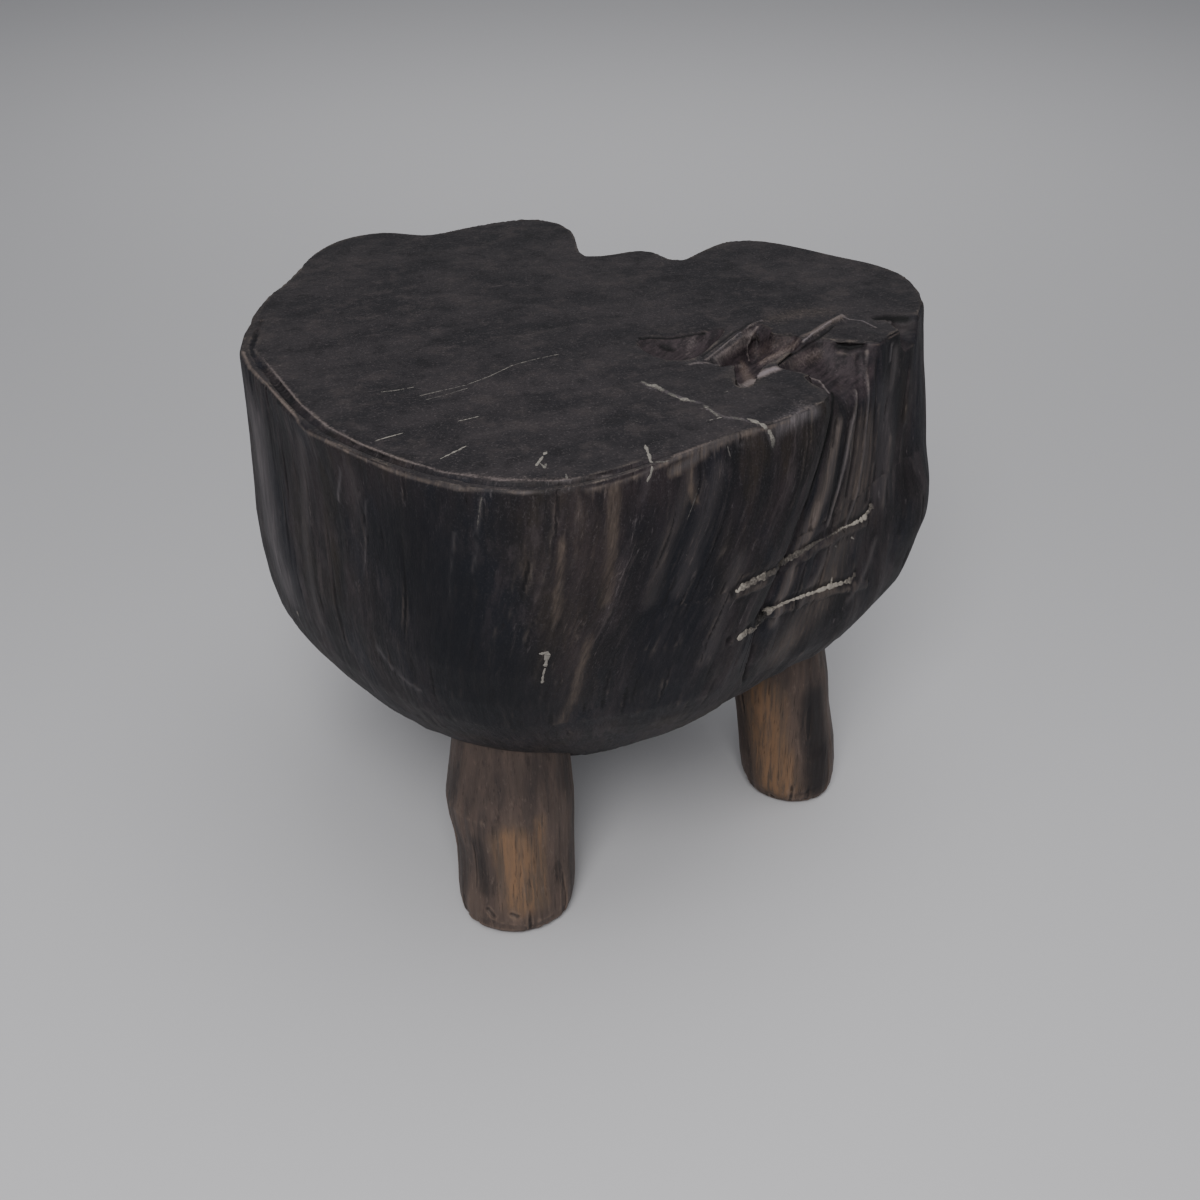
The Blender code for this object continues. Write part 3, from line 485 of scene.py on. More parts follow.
LEG_LAYERS = (
    ("#5b4c44", 1, ("band", 0.30, 0.66)),
    ("#211b1a", 0.65, ("smudge", 0.46, 0.31)),
    ("#726259", 0.5, ("fleck", 0.54, 0.70)),
    ("#584a3e", 0.85, ("tan", 0, 1)),
    ("#806249", 0.9, ("tan_patch", 0.85, 1.9), ("fibre", 0.36, 0.60)),
    ("#8d7d74", 0.9, ("light_patch", 0.80, 1.9)),
    ("#8a7465", 0.35, ("edge", 0, 1)),
    ("#221b19", 0.6, ("hair", 0.44, 0.30)),
    # Dust and painted shade: darker in the checks and dents
    ("#1a1413", 0.7, ("hollow_dust_and_shade", 0, 1)),
    # The dark marks hold the painted shadow under the seat, and the legs' dark sides and knot
    ("#171416", 0.9, ("dark", 0, 1)),
)


def linear(code):
    """The linear colour of an sRGB hex value."""
    shades = [int(code[i:i + 2], 16) / 255 for i in (1, 3, 5)]
    return (*(s / 12.92 if s < 0.04045 else ((s + 0.055) / 1.055) ** 2.4 for s in shades), 1)


def add_node(tree, kind, links=None, **settings):
    """Adds a node with its settings. Links holds a value or a socket for each of its inputs."""
    made = tree.nodes.new(kind)
    for name, value in settings.items():
        setattr(made, name, value)
    for name, value in (links or {}).items():
        if isinstance(value, bpy.types.NodeSocket):
            tree.links.new(value, made.inputs[name])
        else:
            made.inputs[name].default_value = value
    return made


def select_only(*pieces):
    """Leaves these objects selected, and the first of them active."""
    bpy.ops.object.select_all(action="DESELECT")
    for piece in pieces:
        piece.select_set(True)
    bpy.context.view_layer.objects.active = pieces[0]


def applied(piece, kind, **settings):
    """Adds a modifier to a piece and applies it."""
    select_only(piece)
    modifier = piece.modifiers.new(kind.lower(), kind)
    for name, value in settings.items():
        setattr(modifier, name, value)
    bpy.ops.object.modifier_apply(modifier=modifier.name)


def lattice(cells, seed):
    """A fixed number from 0 to 1 for each whole-numbered cell of space."""
    mixed = cells[:, 0] * 374761393 + cells[:, 1] * 668265263 + cells[:, 2] * 1442695041 + seed * 9781
    mixed = (mixed ^ (mixed >> 13)) * 1274126177
    return ((mixed ^ (mixed >> 16)) & 0xFFFF) / 0xFFFF


def bumps(places, size, seed):
    """Smooth noise from -1 to 1 with bumps about one size apart."""
    scaled = places / size
    cells = np.floor(scaled).astype(np.int64)
    share = scaled - cells
    share = share * share * (3 - 2 * share)
    total = np.zeros(len(places))
    for corner in itertools.product((0, 1), repeat=3):
        weight = np.prod(np.where(corner, share, 1 - share), axis=1)
        total += weight * lattice(cells + corner, seed)
    return total * 2 - 1


def eased(share):
    """A share held between 0 and 1, with soft ends."""
    share = np.clip(share, 0, 1)
    return share * share * (3 - 2 * share)


def between(values, start, whole):
    """Nothing up to the start, one from where it is whole, softly rising between them."""
    return eased((values - start) / (whole - start))


def relief(places, table, seed=0):
    """The height in mm that a table of bumps gives each point."""
    return sum(bumps(places * stretch, size * MM, seed + own) * rise for stretch, size, rise, own in table)


def checks(places, row, seed=0):
    """The depth in mm that checks along the grain give each point, below zero."""
    stretch, size, depth, opening, own = row
    return -depth * eased((bumps(places * stretch, size * MM, seed + own) - opening) / CHECK_RANGE)


def near_line(places, line, reach):
    """One on a line of points, falling softly to nothing at the reach."""
    low, high = line.min(axis=0) - reach, line.max(axis=0) + reach
    close = np.flatnonzero(((places > low) & (places < high)).all(axis=1))
    away = np.full(len(close), np.inf)
    for start, end in zip(line, line[1:]):
        along = end - start
        share = np.clip((places[close] - start) @ along / max(along @ along, 1e-12), 0, 1)
        away = np.minimum(away, np.linalg.norm(places[close] - start - share[:, None] * along, axis=1))
    found = np.zeros(len(places))
    found[close] = eased(1 - away / reach)
    return found


def surface_of(piece):
    """A tree of a piece's surface for casting rays at."""
    return BVHTree.FromObject(piece, bpy.context.evaluated_depsgraph_get())


def seen_at(tree, pixel):
    """The point and the normal of the surface that shows at a pixel of the photograph."""
    across, up = (pixel[0] - PHOTO_SIDE / 2) / FOCAL_PIXELS, (PHOTO_SIDE / 2 - pixel[1]) / FOCAL_PIXELS
    aim = Matrix.Rotation(EYE_TURN, 3, "X") @ Vector((across, up, -1))
    point, normal, _, _ = tree.ray_cast(EYE, aim.normalized())
    return point, normal


def line_on(tree, pixels):
    """The points of the surface that show at a line of pixels."""
    return np.array([seen_at(tree, pixel)[0] for pixel in pixels])


def joined(pieces):
    """Joins pieces into the first."""
    select_only(*pieces)
    bpy.ops.object.join()
    return pieces[0]


def fine_copy(node, name, grid, fillings=()):
    """An even mesh of quads on a CAD solid, its slots closed by fattened copies of what lies in them."""
    copies = []
    for source in (node, *fillings):
        select_only(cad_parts[source])
        bpy.ops.object.duplicate()
        copy = bpy.context.active_object
        copy.parent = None
        for key in list(copy.keys()):
            del copy[key]
        bpy.ops.object.mode_set(mode="EDIT")
        bpy.ops.mesh.select_all(action="SELECT")
        bpy.ops.mesh.remove_doubles(threshold=0.00001)
        bpy.ops.object.mode_set(mode="OBJECT")
        if source in fillings:
            places, normals = read_points(copy.data)
            write_points(copy.data, places + normals * SLOT_GAP)
        copies.append(copy)
    copy = joined(copies)
    copy.name = copy.data.name = name
    applied(copy, "REMESH", mode="VOXEL", voxel_size=grid, adaptivity=0, use_smooth_shade=True)
    return copy


def made_finer(piece, tree, lines):
    """Splits the faces near lines of pixels."""
    mesh = piece.data
    centres = np.empty(len(mesh.polygons) * 3)
    mesh.polygons.foreach_get("center", centres)
    centres = centres.reshape(-1, 3)
    chosen = np.zeros(len(centres), bool)
    for pixels, reach in lines:
        chosen |= near_line(centres, line_on(tree, pixels), reach * MM) > 0
    bpy.ops.object.mode_set(mode="EDIT")
    bpy.ops.mesh.select_mode(type="FACE")
    bpy.ops.mesh.select_all(action="DESELECT")
    bpy.ops.object.mode_set(mode="OBJECT")
    mesh.polygons.foreach_set("select", chosen)
    bpy.ops.object.mode_set(mode="EDIT")
    bpy.ops.mesh.subdivide(number_cuts=1)
    bpy.ops.object.mode_set(mode="OBJECT")


def read_points(mesh):
    """The places and normals of a mesh's points."""
    places, normals = np.empty(len(mesh.vertices) * 3), np.empty(len(mesh.vertices) * 3)
    mesh.vertices.foreach_get("co", places)
    mesh.vertices.foreach_get("normal", normals)
    return places.reshape(-1, 3), normals.reshape(-1, 3)


def write_points(mesh, places):
    """Moves a mesh's points."""
    mesh.vertices.foreach_set("co", places.ravel())
    mesh.update()


def write_values(mesh, name, kind, values):
    """Stores one vector or colour for each point of a mesh."""
    stored = mesh.attributes.new(name, kind, "POINT")
    field = "vector" if kind == "FLOAT_VECTOR" else "color"
    stored.data.foreach_set(field, values.astype(np.float32).ravel())


def spread_over(mesh, values, rounds):
    """Values averaged with those of their neighbours, so many times."""
    edges = np.empty(len(mesh.edges) * 2, np.int64)
    mesh.edges.foreach_get("vertices", edges)
    first, second = edges.reshape(-1, 2).T
    count = np.bincount(edges, minlength=len(values)).astype(float)
    for _ in range(rounds):
        total = np.zeros_like(values)
        for column in range(values.shape[1]):
            total[:, column] = np.bincount(first, values[second, column], len(values))
            total[:, column] += np.bincount(second, values[first, column], len(values))
        values = (values + total / count[:, None]) / 2
    return values


def edge_and_hollow(mesh, rounds, size):
    """How far each point stands out of its surroundings, and how far it is sunk in them, from 0 to 1."""
    places, normals = read_points(mesh)
    out = np.einsum("ij,ij->i", places - spread_over(mesh, places, rounds), normals) / size
    return eased(out), eased(-out)


def marked(places, tree, marks):
    """The height and the light, tan, dark and blue shares that a table of marks gives each point."""
    height, shades = np.zeros(len(places)), np.zeros((len(places), 4))
    for pixels, reach, rise, *shares in marks.values():
        near = near_line(places, line_on(tree, pixels), reach * MM)
        height += near * rise * MM
        first = slice(len(shares))
        shades[:, first] = np.maximum(shades[:, first], near[:, None] * shares)
    return height, shades


def shown(places):
    """Where points show in the photograph, in pixels, and how deep they lie behind the camera's plane."""
    turned = (places - np.array(EYE)) @ np.array(Matrix.Rotation(EYE_TURN, 3, "X"))
    return turned[:, :2] / -turned[:, 2:] * FOCAL_PIXELS * (1, -1) + PHOTO_SIDE / 2, -turned[:, 2]


def by_lip(places, tree):
    """How much each point belongs to the front lobe's edge by the crack, and how far it is drawn over it."""
    pixels, depth = shown(places)
    rows, columns, shifts = LIP.T
    _, lip_depth = shown(line_on(tree, [(column - LIP_BACK_PIXELS, row) for row, column, _ in LIP]))
    off = pixels[:, 0] - np.interp(pixels[:, 1], rows, columns)
    near = np.where(off < 0, eased(1 + off / LIP_REACH_PIXELS[0]), eased(1 - off / LIP_REACH_PIXELS[1]))
    near *= eased(LIP_DEPTH_SHARE - (depth - np.interp(pixels[:, 1], rows, lip_depth)) / LIP_REACH)
    near *= (pixels[:, 1] > rows[0]) * between(pixels[:, 1], rows[-1] + LIP_FADE_ROWS, rows[-1])
    return near, np.interp(pixels[:, 1], rows, shifts) * depth / FOCAL_PIXELS


def beside_crack(places):
    """How far points show right of the crack in mm, how much of the crack is there and how closed it is."""
    pixels, _ = shown(places)
    line = np.array(CRACK_PIXELS, float)
    nearest = np.full(len(places), np.inf)
    signed, along_line = np.zeros(len(places)), np.zeros(len(places))
    for i, (start, end) in enumerate(zip(line, line[1:])):
        along = end - start
        share = np.clip((pixels - start) @ along / (along @ along), 0, 1)
        off = pixels - start - share[:, None] * along
        away = np.hypot(off[:, 0], off[:, 1])
        closer = away < nearest
        nearest[closer] = away[closer]
        signed[closer] = (away * np.sign(along[1] * off[:, 0] - along[0] * off[:, 1]))[closer]
        along_line[closer] = ((i + share) / (len(line) - 1))[closer]
    there = eased(along_line / CRACK_FADE_SHARES[0]) * eased((1 - along_line) / CRACK_FADE_SHARES[1])
    there *= (places[:, 1] < -CRACK_QUARTER) * (places[:, 0] > CRACK_QUARTER)
    return signed * PIXEL_MM, there, eased((pixels[:, 1] - CRACK_CLOSED_ROW) / CRACK_CLOSING_ROWS)


def grain_of(places):
    """Places unrolled along the grain: round the trunk by how it stands at the seat, and down the side."""
    down = np.clip((TOP_Z - places[:, 2]) / BLOCK_THICKNESS, 0, 1)
    drift = FOLD_SWING * np.interp(down, DRIFT_DOWN_SHARES, DRIFT_SHARES)
    turn = np.arctan2(places[:, 1], places[:, 0])
    away = np.abs((turn - FOLD_TURN - drift + math.pi) % (2 * math.pi) - math.pi)
    turn = turn - drift * (0.5 + 0.5 * np.cos(math.pi * np.minimum(1, away / FOLD_REACH)))
    along = places[:, 2] - np.maximum(0, TRUNK_RADIUS - np.hypot(places[:, 0], places[:, 1])) * (down > 0.3)
    return np.stack([np.cos(turn) * TRUNK_RADIUS, np.sin(turn) * TRUNK_RADIUS, along], axis=1)


def worn_block(block, tree):
    """Melts worn edges, makes the mesh fine where it is needed, and draws out the lip and the right lobe."""
    mesh = block.data
    places, _ = read_points(mesh)
    soft = np.zeros(len(places))
    for pixels, reach, share in SOFT_LINES:
        near = near_line(places, line_on(tree, pixels), reach * MM)
        soft = np.maximum(soft, share * near ** MELT_FALL)
    melted = spread_over(mesh, places, round(2 * (MELT / BLOCK_GRID) ** 2))
    write_points(mesh, places + soft[:, None] * (melted - places))
    made_finer(block, tree, FINE_LINES)

    places, _ = read_points(mesh)
    torn = near_line(places, line_on(tree, TORN_PIXELS), TORN_REACH) ** TORN_FALL
    softer = spread_over(mesh, places, TORN_ROUNDS)
    lip, drawn_over = by_lip(places, tree)
    calmed = (torn > CALM_TORN) & (places[:, 2] < TOP_Z - CALM_DEPTH) & (lip < CALM_LIP)
    places = np.where(calmed[:, None], softer, spread_over(mesh, places, EVEN_ROUNDS))
    places[:, 0] += lip * drawn_over
    outwards = places[:, :2] / np.hypot(places[:, 0], places[:, 1])[:, None]
    for pixels, reach, most in LOBE_SWELLS:
        swell = most * MM * near_line(places, line_on(tree, pixels), reach * MM)
        places[:, :2] += swell[:, None] * outwards
    write_points(mesh, places)
    return lip, torn


def clear_of_legs(places):
    """One for points away from the legs, falling to nothing where a leg goes into the block."""
    free = np.ones(len(places))
    for leg in LEGS:
        low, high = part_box(leg)
        middle, reach = (low + high) / 2, (high.x - low.x) / 2
        from_leg = np.hypot(places[:, 0] - middle.x, places[:, 1] - middle.y)
        free *= np.where(places[:, 2] < LEG_CLEAR_HEIGHT, eased((from_leg - reach) / LEG_CLEAR), 1)
    return free


def carved_block():
    """The trunk section: a flat hewn top, fluted sides, the opened fold, checks and worn edges."""
    tree = surface_of(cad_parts["seat_block"])
    fillings = ("staple_upper", "staple_lower", "crack_filler")
    block = fine_copy("seat_block", "trunk_block", BLOCK_GRID, fillings)
    mesh = block.data
    lip, torn = worn_block(block, tree)
    tree = surface_of(block)
    places, normals = read_points(mesh)
    plain_edge, _ = edge_and_hollow(mesh, PLAIN_EDGE_ROUNDS, PLAIN_EDGE_SIZE)
    grain, depths, levels = grain_of(places), TOP_Z - places[:, 2], normals[:, 2]
    top = between(depths, *TOP_DEPTHS) * between(levels, *TOP_LEVELS)
    torn = torn * between(depths, *TORN_DEPTHS) * between(levels, *TORN_LEVELS)
    height, shades = marked(places, tree, BLOCK_MARKS)
    for line in STAPLE_LINES.values():
        bar = line_on(tree, [pixel for pixel, _, _ in line])
        height -= BAR_SINK * near_line(places, bar, BAR_SINK_REACH)

    signed, cracked, closed = beside_crack(places)
    cracked = cracked * (1 - top)
    slit = np.exp(-(((signed - CRACK_SLIT_PLACE_MM) / CRACK_SLIT_WIDTH_MM) ** 2)) * cracked
    slit *= signed > CRACK_SLIT_START_MM
    inset = CRACK_INSET_MM * np.exp(-np.maximum(signed, 0) / CRACK_INSET_REACH_MM)
    inset *= eased(signed / CRACK_INSET_START_MM)
    height -= (inset * cracked + CRACK_SLIT_MM * slit) * closed * MM

    side = (1 - top) * clear_of_legs(places) * (1 - slit) * (1 - TORN_LOSS * torn) * (1 - LIP_LOSS * lip)
    turn = np.degrees(np.arctan2(places[:, 1], places[:, 0]))
    lobe = between(turn, *LOBE_RISES) * between(turn, *LOBE_FALLS)
    uneven = relief(places, HEWN_SIDE) + relief(grain, SIDE_FIBRES) + checks(grain, SIDE_CHECKS)
    for size, rise, more, seed in FLUTES:
        uneven += bumps(grain * FLUTE_STRETCH, size * MM, seed) * (rise + more * lobe)
    drawn = places @ np.array(Matrix.Rotation(-TOP_STREAK_TURN, 3, "Z")).T
    worn_flat = relief(places, WORN_FLAT) + relief(drawn, DRAWN_FLAT)
    fibres = relief(places @ np.array(Matrix.Rotation(TORN_TURN, 3, "Z")), TORN_FIBRES)
    height += (side * uneven + top * worn_flat + torn * fibres) * MM
    places = places + normals * height[:, None]
    write_points(mesh, places)

    # Worn pale edges, uneven, and none beside the crack. The slit is painted dark as its shadow, and its
    # light and tan marks are taken out
    edge, hollow_dust_and_shade = edge_and_hollow(mesh, EDGE_ROUNDS, EDGE_SIZE)
    broken = EDGE_MIDDLE + (1 - EDGE_MIDDLE) * bumps(places, EDGE_BREAK_SIZE, 9)
    edge = np.maximum(edge * broken, plain_edge * PLAIN_EDGE_SHARE)
    edge = np.clip(edge, 0, 1) * (1 - between(np.abs(signed), *CRACK_UNWORN_MM) * cracked)
    shades[:, 2] = np.maximum(shades[:, 2], np.minimum(1, SLIT_SHADE * slit))
    shades[:, :2] *= (1 - slit)[:, None]
    # The hollow share is dust and painted shade in sunk places, with less of it in the torn wood
    shape = np.stack([top, edge, hollow_dust_and_shade * (1 - HOLLOW_LOSS * torn), torn], axis=1)
    write_values(mesh, "grain_place", "FLOAT_VECTOR", grain)
    write_values(mesh, "marks", "FLOAT_COLOR", shades)
    write_values(mesh, "shape", "FLOAT_COLOR", shape)
    keep = BLOCK_TRIANGLES / (len(mesh.polygons) * 2)
    if keep < 1:
        plain = block.vertex_groups.new(name="plain")
        far = (cracked < CRACKED_LEAST) | (np.abs(signed) > CRACK_FINE_MM)
        plain.add(np.flatnonzero(far).tolist(), 1, "REPLACE")
        applied(block, "DECIMATE", ratio=keep, vertex_group="plain")
        block.vertex_groups.clear()
    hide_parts("seat_block")
    return block


def carved_leg(node):
    """A leg: a peeled branch with its flats and dents, worn round at the foot."""
    tree = surface_of(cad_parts[node])
    leg = fine_copy(node, node.replace("leg", "branch_leg"), LEG_GRID)
    mesh = leg.data
    places, normals = read_points(mesh)
    low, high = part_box(node)
    middle = np.array((low + high) / 2) * (1, 1, 0)
    own = places - middle
    seed = len(node) * 7
    height, shades = marked(places, tree, LEG_MARKS[node])
    shown_share = between(places[:, 2], LEG_SHOWN + LEG_FADE, LEG_SHOWN)
    foot = eased(places[:, 2] / FOOT_HEIGHT)
    uneven = relief(own, LEG_BUMPS, seed) + checks(own, LEG_CHECKS, seed)
    height += uneven * MM * (LEG_HIDDEN_SHARE + (1 - LEG_HIDDEN_SHARE) * shown_share) * foot
    places = places + normals * height[:, None]
    places[:, 2] = np.maximum(places[:, 2], 0)
    write_points(mesh, places)
    edge, hollow_dust_and_shade = edge_and_hollow(mesh, EDGE_ROUNDS, EDGE_SIZE)
    write_values(mesh, "grain_place", "FLOAT_VECTOR", own)
    write_values(mesh, "marks", "FLOAT_COLOR", shades)
    # The hollow share darkens checks and dents as dust and painted shade
    write_values(mesh, "shape", "FLOAT_COLOR", np.stack([foot * 0, edge, hollow_dust_and_shade, foot], axis=1))
    keep = LEG_TRIANGLES / (len(mesh.polygons) * 2)
    if keep < 1:
        applied(leg, "DECIMATE", ratio=keep)
    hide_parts(node)
    return leg


def beads(name, tree, lines, sunk, roughness, grit):
    """Uneven beads in the wood along lines of pixels, with half widths in mm and how pale they are."""
    curve = bpy.data.curves.new(name, "CURVE")
    curve.dimensions = "3D"
    curve.bevel_depth = MM
    curve.bevel_resolution = 3
    curve.use_fill_caps = True
    middles, pales = [], []
    for line in lines:
        seen = [(*seen_at(tree, pixel), width, pale) for pixel, width, pale in line]
        spaced = []
        for (start, _, width, pale), (end, _, next_width, next_pale) in zip(seen, seen[1:]):
            count = max(2, round((end - start).length / BEAD_STEP))
            for i in range(count):
                share = i / count
                now_wide = width + (next_width - width) * share
                spaced.append((start.lerp(end, share), now_wide, pale + (next_pale - pale) * share))
        spaced.append((seen[-1][0], *seen[-1][2:]))
        uneven = bumps(np.array([point for point, _, _ in spaced]), BEAD_UNEVEN_SIZE, 31)
        spline = curve.splines.new("POLY")
        spline.points.add(len(spaced) - 1)
        for i, (spot, (point, width, pale)) in enumerate(zip(spline.points, spaced)):
            found, normal, _, _ = tree.find_nearest(point)
            from_end = min(1, (min(i, len(spaced) - 1 - i) + 1) / BEAD_THIN_STEPS)
            thick = width * (1 + BEAD_WIDTH_SHARE * uneven[i]) * from_end
            spot.co = (*(found - normal * thick * (sunk - BEAD_DEPTH_SHARE * uneven[i]) * MM), 1)
            spot.radius = thick
            middles.append(found)
            pales.append(pale)
    made = bpy.data.objects.new(name, curve)
    bpy.context.scene.collection.objects.link(made)
    select_only(made)
    bpy.ops.object.convert(target="MESH")
    made = bpy.context.active_object
    bpy.ops.object.shade_smooth()
    places, normals = read_points(made.data)
    fine_size, fine_height = FINE_GRIT
    worn = bumps(places, grit * MM, 21) * roughness
    worn += bumps(places, grit * fine_size * MM, 22) * roughness * fine_height
    places = places + normals * (worn * MM)[:, None]
    write_points(made.data, lowered(places, tree, BEAD_HEIGHT_SHARE, 0))
    middles, pales = np.array(middles), np.array(pales)
    nearest = [np.linalg.norm(middles - place, axis=1).argmin() for place in places]
    bare = np.repeat(pales[nearest][:, None], 4, axis=1)
    write_values(made.data, "bare", "FLOAT_COLOR", bare)
    return made


def lowered(places, tree, share, sunk):
    """Points over a surface, or less than sunk under it, brought down to a share of their height."""
    placed = places.copy()
    for i, place in enumerate(places):
        found, normal, _, _ = tree.find_nearest(Vector(place))
        height = (Vector(place) - found).dot(normal) + sunk
        if height > 0:
            placed[i] = place - np.array(normal) * height * (1 - share)
    return placed


def bedded(node, name, tree, lines, grid):
    """A CAD solid that lies in the wood, worn down to the surface, under its bare, pale beads."""
    bed = fine_copy(node, name, grid)
    places, _ = read_points(bed.data)
    write_points(bed.data, lowered(places, tree, 0, BED_DEPTH))
    write_values(bed.data, "bare", "FLOAT_COLOR", np.full((len(places), 4), BED_PALE))
    bed = joined([bed, beads(name + "_beads", tree, lines, *BAR_BEADS)])
    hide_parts(node)
    return bed


def wood_tree(name, patterns, ragged):
    """A new material with its shader, and the values that sculpting and patterns give each point."""
    material = bpy.data.materials.new(name)
    material.use_nodes = True
    tree = material.node_tree
    place = add_node(tree, "ShaderNodeTexCoord").outputs["Object"]
    grain = add_node(tree, "ShaderNodeAttribute", attribute_name="grain_place").outputs["Vector"]
    sources = {"place": place, "grain": grain}
    for source, turn in (("torn_fibres", TORN_TURN), ("top_streaks", TOP_STREAK_TURN)):
        links = {"Vector": place, "Rotation": (0, 0, -turn)}
        sources[source] = add_node(tree, "ShaderNodeMapping", links).outputs[0]
    values = {"bare": add_node(tree, "ShaderNodeAttribute", attribute_name="bare").outputs["Fac"]}
    for stored, names in STORED_VALUES.items():
        kept = add_node(tree, "ShaderNodeAttribute", attribute_name=stored).outputs
        parts = add_node(tree, "ShaderNodeSeparateColor", {"Color": kept["Color"]}).outputs
        values.update(zip(names, (*parts, kept["Alpha"])))
    for pattern, (source, stretch, size_mm, detail, rough) in patterns.items():
        drawn = add_node(tree, "ShaderNodeMapping", {"Vector": sources[source], "Scale": stretch}).outputs[0]
        links = {"Vector": drawn, "Scale": 1000 / size_mm, "Detail": detail, "Roughness": rough}
        values[pattern] = add_node(tree, "ShaderNodeTexNoise", links).outputs["Fac"]
    for patch, (mark, pattern, strength) in ragged.items():
        links = {0: values[pattern], 1: strength, 2: values[mark]}
        values[patch] = add_node(tree, "ShaderNodeMath", links, operation="MULTIPLY_ADD").outputs[0]
    return material, tree, tree.nodes["Principled BSDF"], values


def layered(tree, values, colour, layers):
    """A colour under layers, each with its colour, its most share and the ranges of values that show it."""
    for shade, most, *ranges in layers:
        share = most
        for name, low, high in ranges:
            links = {"Value": values[name], "From Min": low, "From Max": high}
            part = add_node(tree, "ShaderNodeMapRange", links, interpolation_type="SMOOTHSTEP").outputs[0]
            share = add_node(tree, "ShaderNodeMath", {0: share, 1: part}, operation="MULTIPLY").outputs[0]
        colours = [linear(tone) if isinstance(tone, str) else tone for tone in (colour, shade)]
        links = {0: share, 6: colours[0], 7: colours[1]}
        colour = add_node(tree, "ShaderNodeMix", links, data_type="RGBA").outputs[2]
    return colour


def trunk_wood():
    """Dense hardwood, hewn, then blackened by smoke, oil and hands: satin dark fibres and paler worn ones."""
    material, tree, surface, values = wood_tree("smoke_dark_hardwood", TRUNK_PATTERNS, TRUNK_RAGGED)
    side = layered(tree, values, "#151417", SIDE_LAYERS)
    torn = layered(tree, values, "#1d181b", TORN_LAYERS)
    flat = layered(tree, values, "#1e1c1f", FLAT_LAYERS)
    # The dark marks paint shade into the recesses, flute valleys, slit and lower bowl, and darken blue-black
    # zones
    over = ((torn, 1.0, ("torn", 0, 1)), (flat, 1.0, ("top", 0, 1)), ("#080708", 1.0, ("dark", 0, 1)))
    tree.links.new(layered(tree, values, side, over), surface.inputs["Base Color"])

    # Satin where hands and seats have polished it, duller between the fibres
    links = {0: values["top"], 2: values["fleck"], 3: values["scuff"]}
    polish = add_node(tree, "ShaderNodeMix", links).outputs[0]
    gloss = add_node(tree, "ShaderNodeMapRange", {"Value": polish, **GLOSS_RANGE}).outputs[0]
    links = {0: values["fibre"], 1: HAIR_SHARE, 2: values["hair"]}
    fibres = add_node(tree, "ShaderNodeMath", links, operation="MULTIPLY_ADD").outputs[0]
    links = {0: values["top"], 2: fibres, 3: values["scuff"]}
    height = add_node(tree, "ShaderNodeMix", links).outputs[0]
    bump = add_node(tree, "ShaderNodeBump", {"Height": height, **TRUNK_RELIEF}).outputs[0]
    tree.links.new(gloss, surface.inputs["Roughness"])
    tree.links.new(bump, surface.inputs["Normal"])
    surface.inputs["Specular IOR Level"].default_value = TRUNK_SPECULAR
    return material


def leg_wood():
    """A peeled branch, grey with dust, rubbed to its warm brown wood in places: dull, with dark checks."""
    material, tree, surface, values = wood_tree("rubbed_branch_wood", LEG_PATTERNS, LEG_RAGGED)
    tree.links.new(layered(tree, values, "#3d3431", LEG_LAYERS), surface.inputs["Base Color"])
    gloss = add_node(tree, "ShaderNodeMapRange", {"Value": values["fibre"], **GLOSS_RANGE}).outputs[0]
    links = {0: values["fibre"], 1: HAIR_SHARE, 2: values["hair"]}
    height = add_node(tree, "ShaderNodeMath", links, operation="MULTIPLY_ADD").outputs[0]
    bump = add_node(tree, "ShaderNodeBump", {"Height": height, **LEG_RELIEF}).outputs[0]
    tree.links.new(gloss, surface.inputs["Roughness"])
    tree.links.new(bump, surface.inputs["Normal"])
    surface.inputs["Specular IOR Level"].default_value = LEG_SPECULAR
    return material


def crusted(name, dull, mid, pale, size_mm, roughness):
    """A dull crust, dark where the dirt lies and pale where it is bare, with grains of a real size."""
    patterns = {"grain": ("place", (1, 1, 1), size_mm, 5, 0.7)}
    material, tree, surface, values = wood_tree(name, patterns, {"worn": ("bare", "grain", 1.5)})
    layers = ((mid, 1.0, ("worn", 0.75, 1.25)), (pale, 1.0, ("worn", 1.2, 1.75)))
    bump = add_node(tree, "ShaderNodeBump", {"Height": values["grain"], **CRUST_RELIEF}).outputs[0]
    tree.links.new(layered(tree, values, dull, layers), surface.inputs["Base Color"])
    tree.links.new(bump, surface.inputs["Normal"])
    surface.inputs["Roughness"].default_value = roughness
    return material


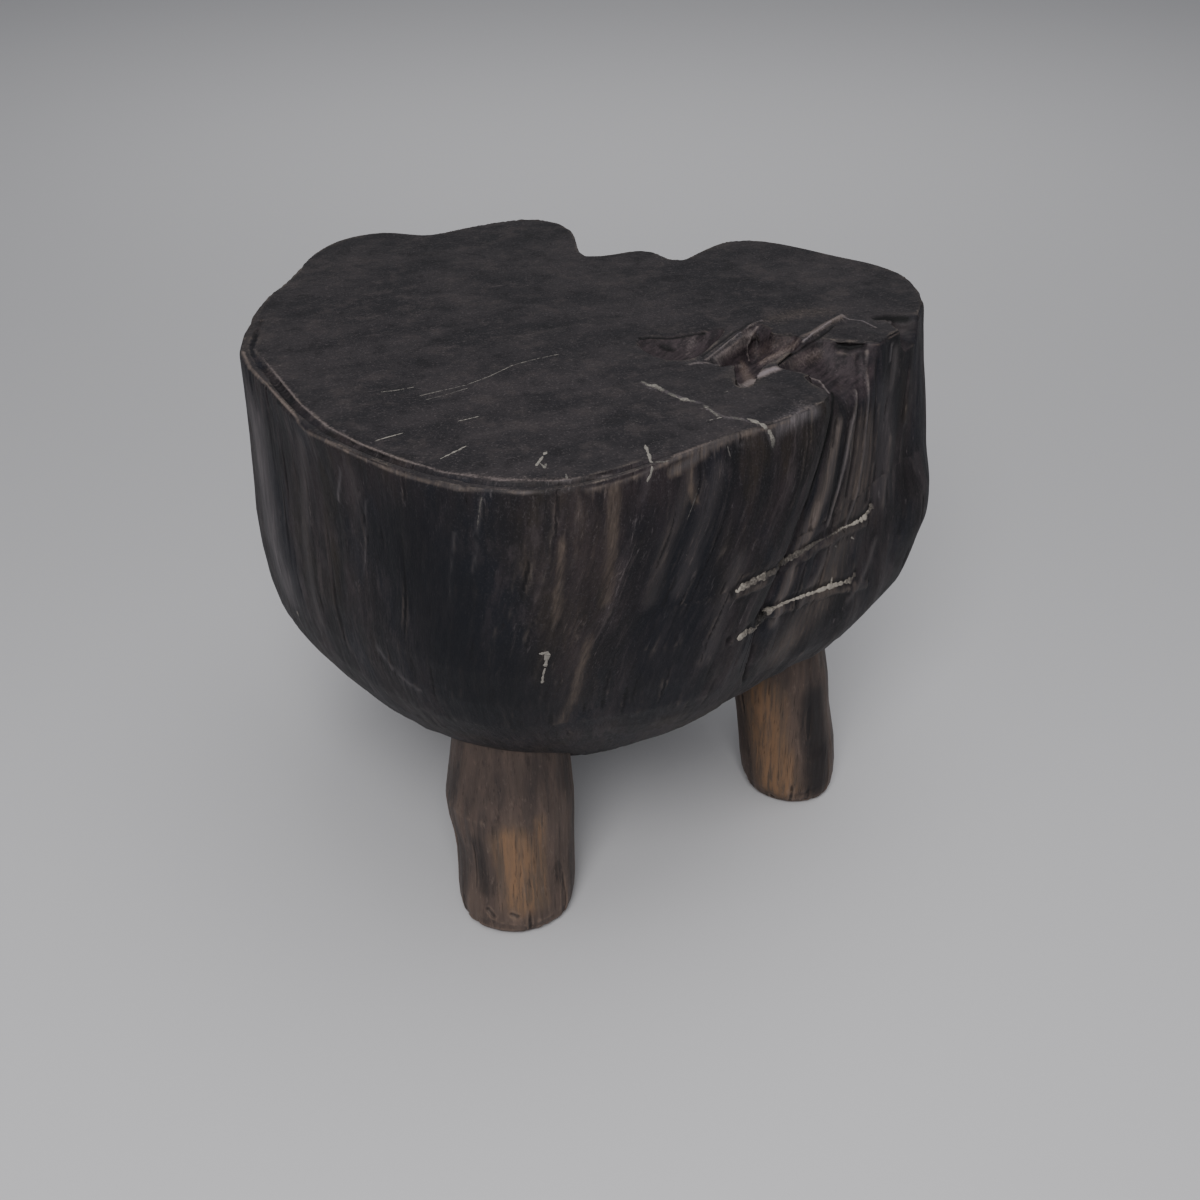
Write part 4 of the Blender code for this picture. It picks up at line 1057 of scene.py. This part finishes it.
def set_stage():
    """The camera of the photograph, a plain pale floor and soft light from above the camera."""
    bpy.ops.object.camera_add(location=EYE, rotation=(EYE_TURN, 0, 0))
    camera = bpy.context.active_object
    camera.data.lens = LENS_MM
    camera.data.sensor_width = SENSOR_MM
    bpy.context.scene.camera = camera

    place = (0, 0, -FLOOR_DROP)
    bpy.ops.mesh.primitive_circle_add(vertices=96, radius=FLOOR_RADIUS, fill_type="NGON", location=place)
    floor = bpy.context.active_object
    floor.name = "floor"
    paper = bpy.data.materials.new("pale_grey_paper")
    paper.use_nodes = True
    finish = paper.node_tree.nodes["Principled BSDF"].inputs
    finish["Base Color"].default_value = linear("#c9c8ca")
    finish["Roughness"].default_value = FLOOR_ROUGHNESS
    floor.data.materials.append(paper)

    for kind, name, place, turn, size, power, cone in LIGHTS:
        bpy.ops.object.light_add(type=kind, location=place, rotation=[math.radians(angle) for angle in turn])
        light = bpy.context.active_object
        light.name = name
        light.data.energy = power
        if cone is None:
            light.data.shape = "DISK"
            light.data.size = size
        else:
            light.data.shadow_soft_size = size
            light.data.spot_size, light.data.spot_blend = math.radians(cone), 1

    world = bpy.data.worlds.new("studio")
    world.use_nodes = True
    sky = world.node_tree.nodes["Background"].inputs
    sky["Color"].default_value = linear("#d8dade")
    sky["Strength"].default_value = SKY_STRENGTH
    bpy.context.scene.world = world


set_stage()
block = carved_block()
block_tree = surface_of(block)
legs = [carved_leg(node) for node in LEGS]

iron_crust = crusted("dull_crusted_iron", "#1c1918", "#4c4641", "#948d83", 1.4, 0.78)
filler_paste = crusted("pale_dry_filler", "#211f1f", "#4a4744", "#827d76", 0.8, 0.88)
trunk_finish, leg_finish = trunk_wood(), leg_wood()
pieces = [(block, trunk_finish)] + [(leg, leg_finish) for leg in legs]
for node, line in STAPLE_LINES.items():
    lines = [line, STAPLE_SPIKE] if node == "staple_lower" else [line]
    staple = bedded(node, node + "_iron", block_tree, lines, STAPLE_GRID)
    pieces.append((staple, iron_crust))

filler = bedded("crack_filler", "check_filler", block_tree, FILLER_LINES, FILLER_GRID)
pieces.append((filler, filler_paste))
crumb_lines = [[(pixel, width, pale) for pixel in pixels] for pixels, width, pale in PALE_LINES.values()]
crumbs = beads("pale_crumbs", block_tree, crumb_lines, *CRUMB_BEADS)
pieces.append((crumbs, filler_paste))

for piece, finish in pieces:
    piece.data.materials.clear()
    piece.data.materials.append(finish)
    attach(piece, "root")
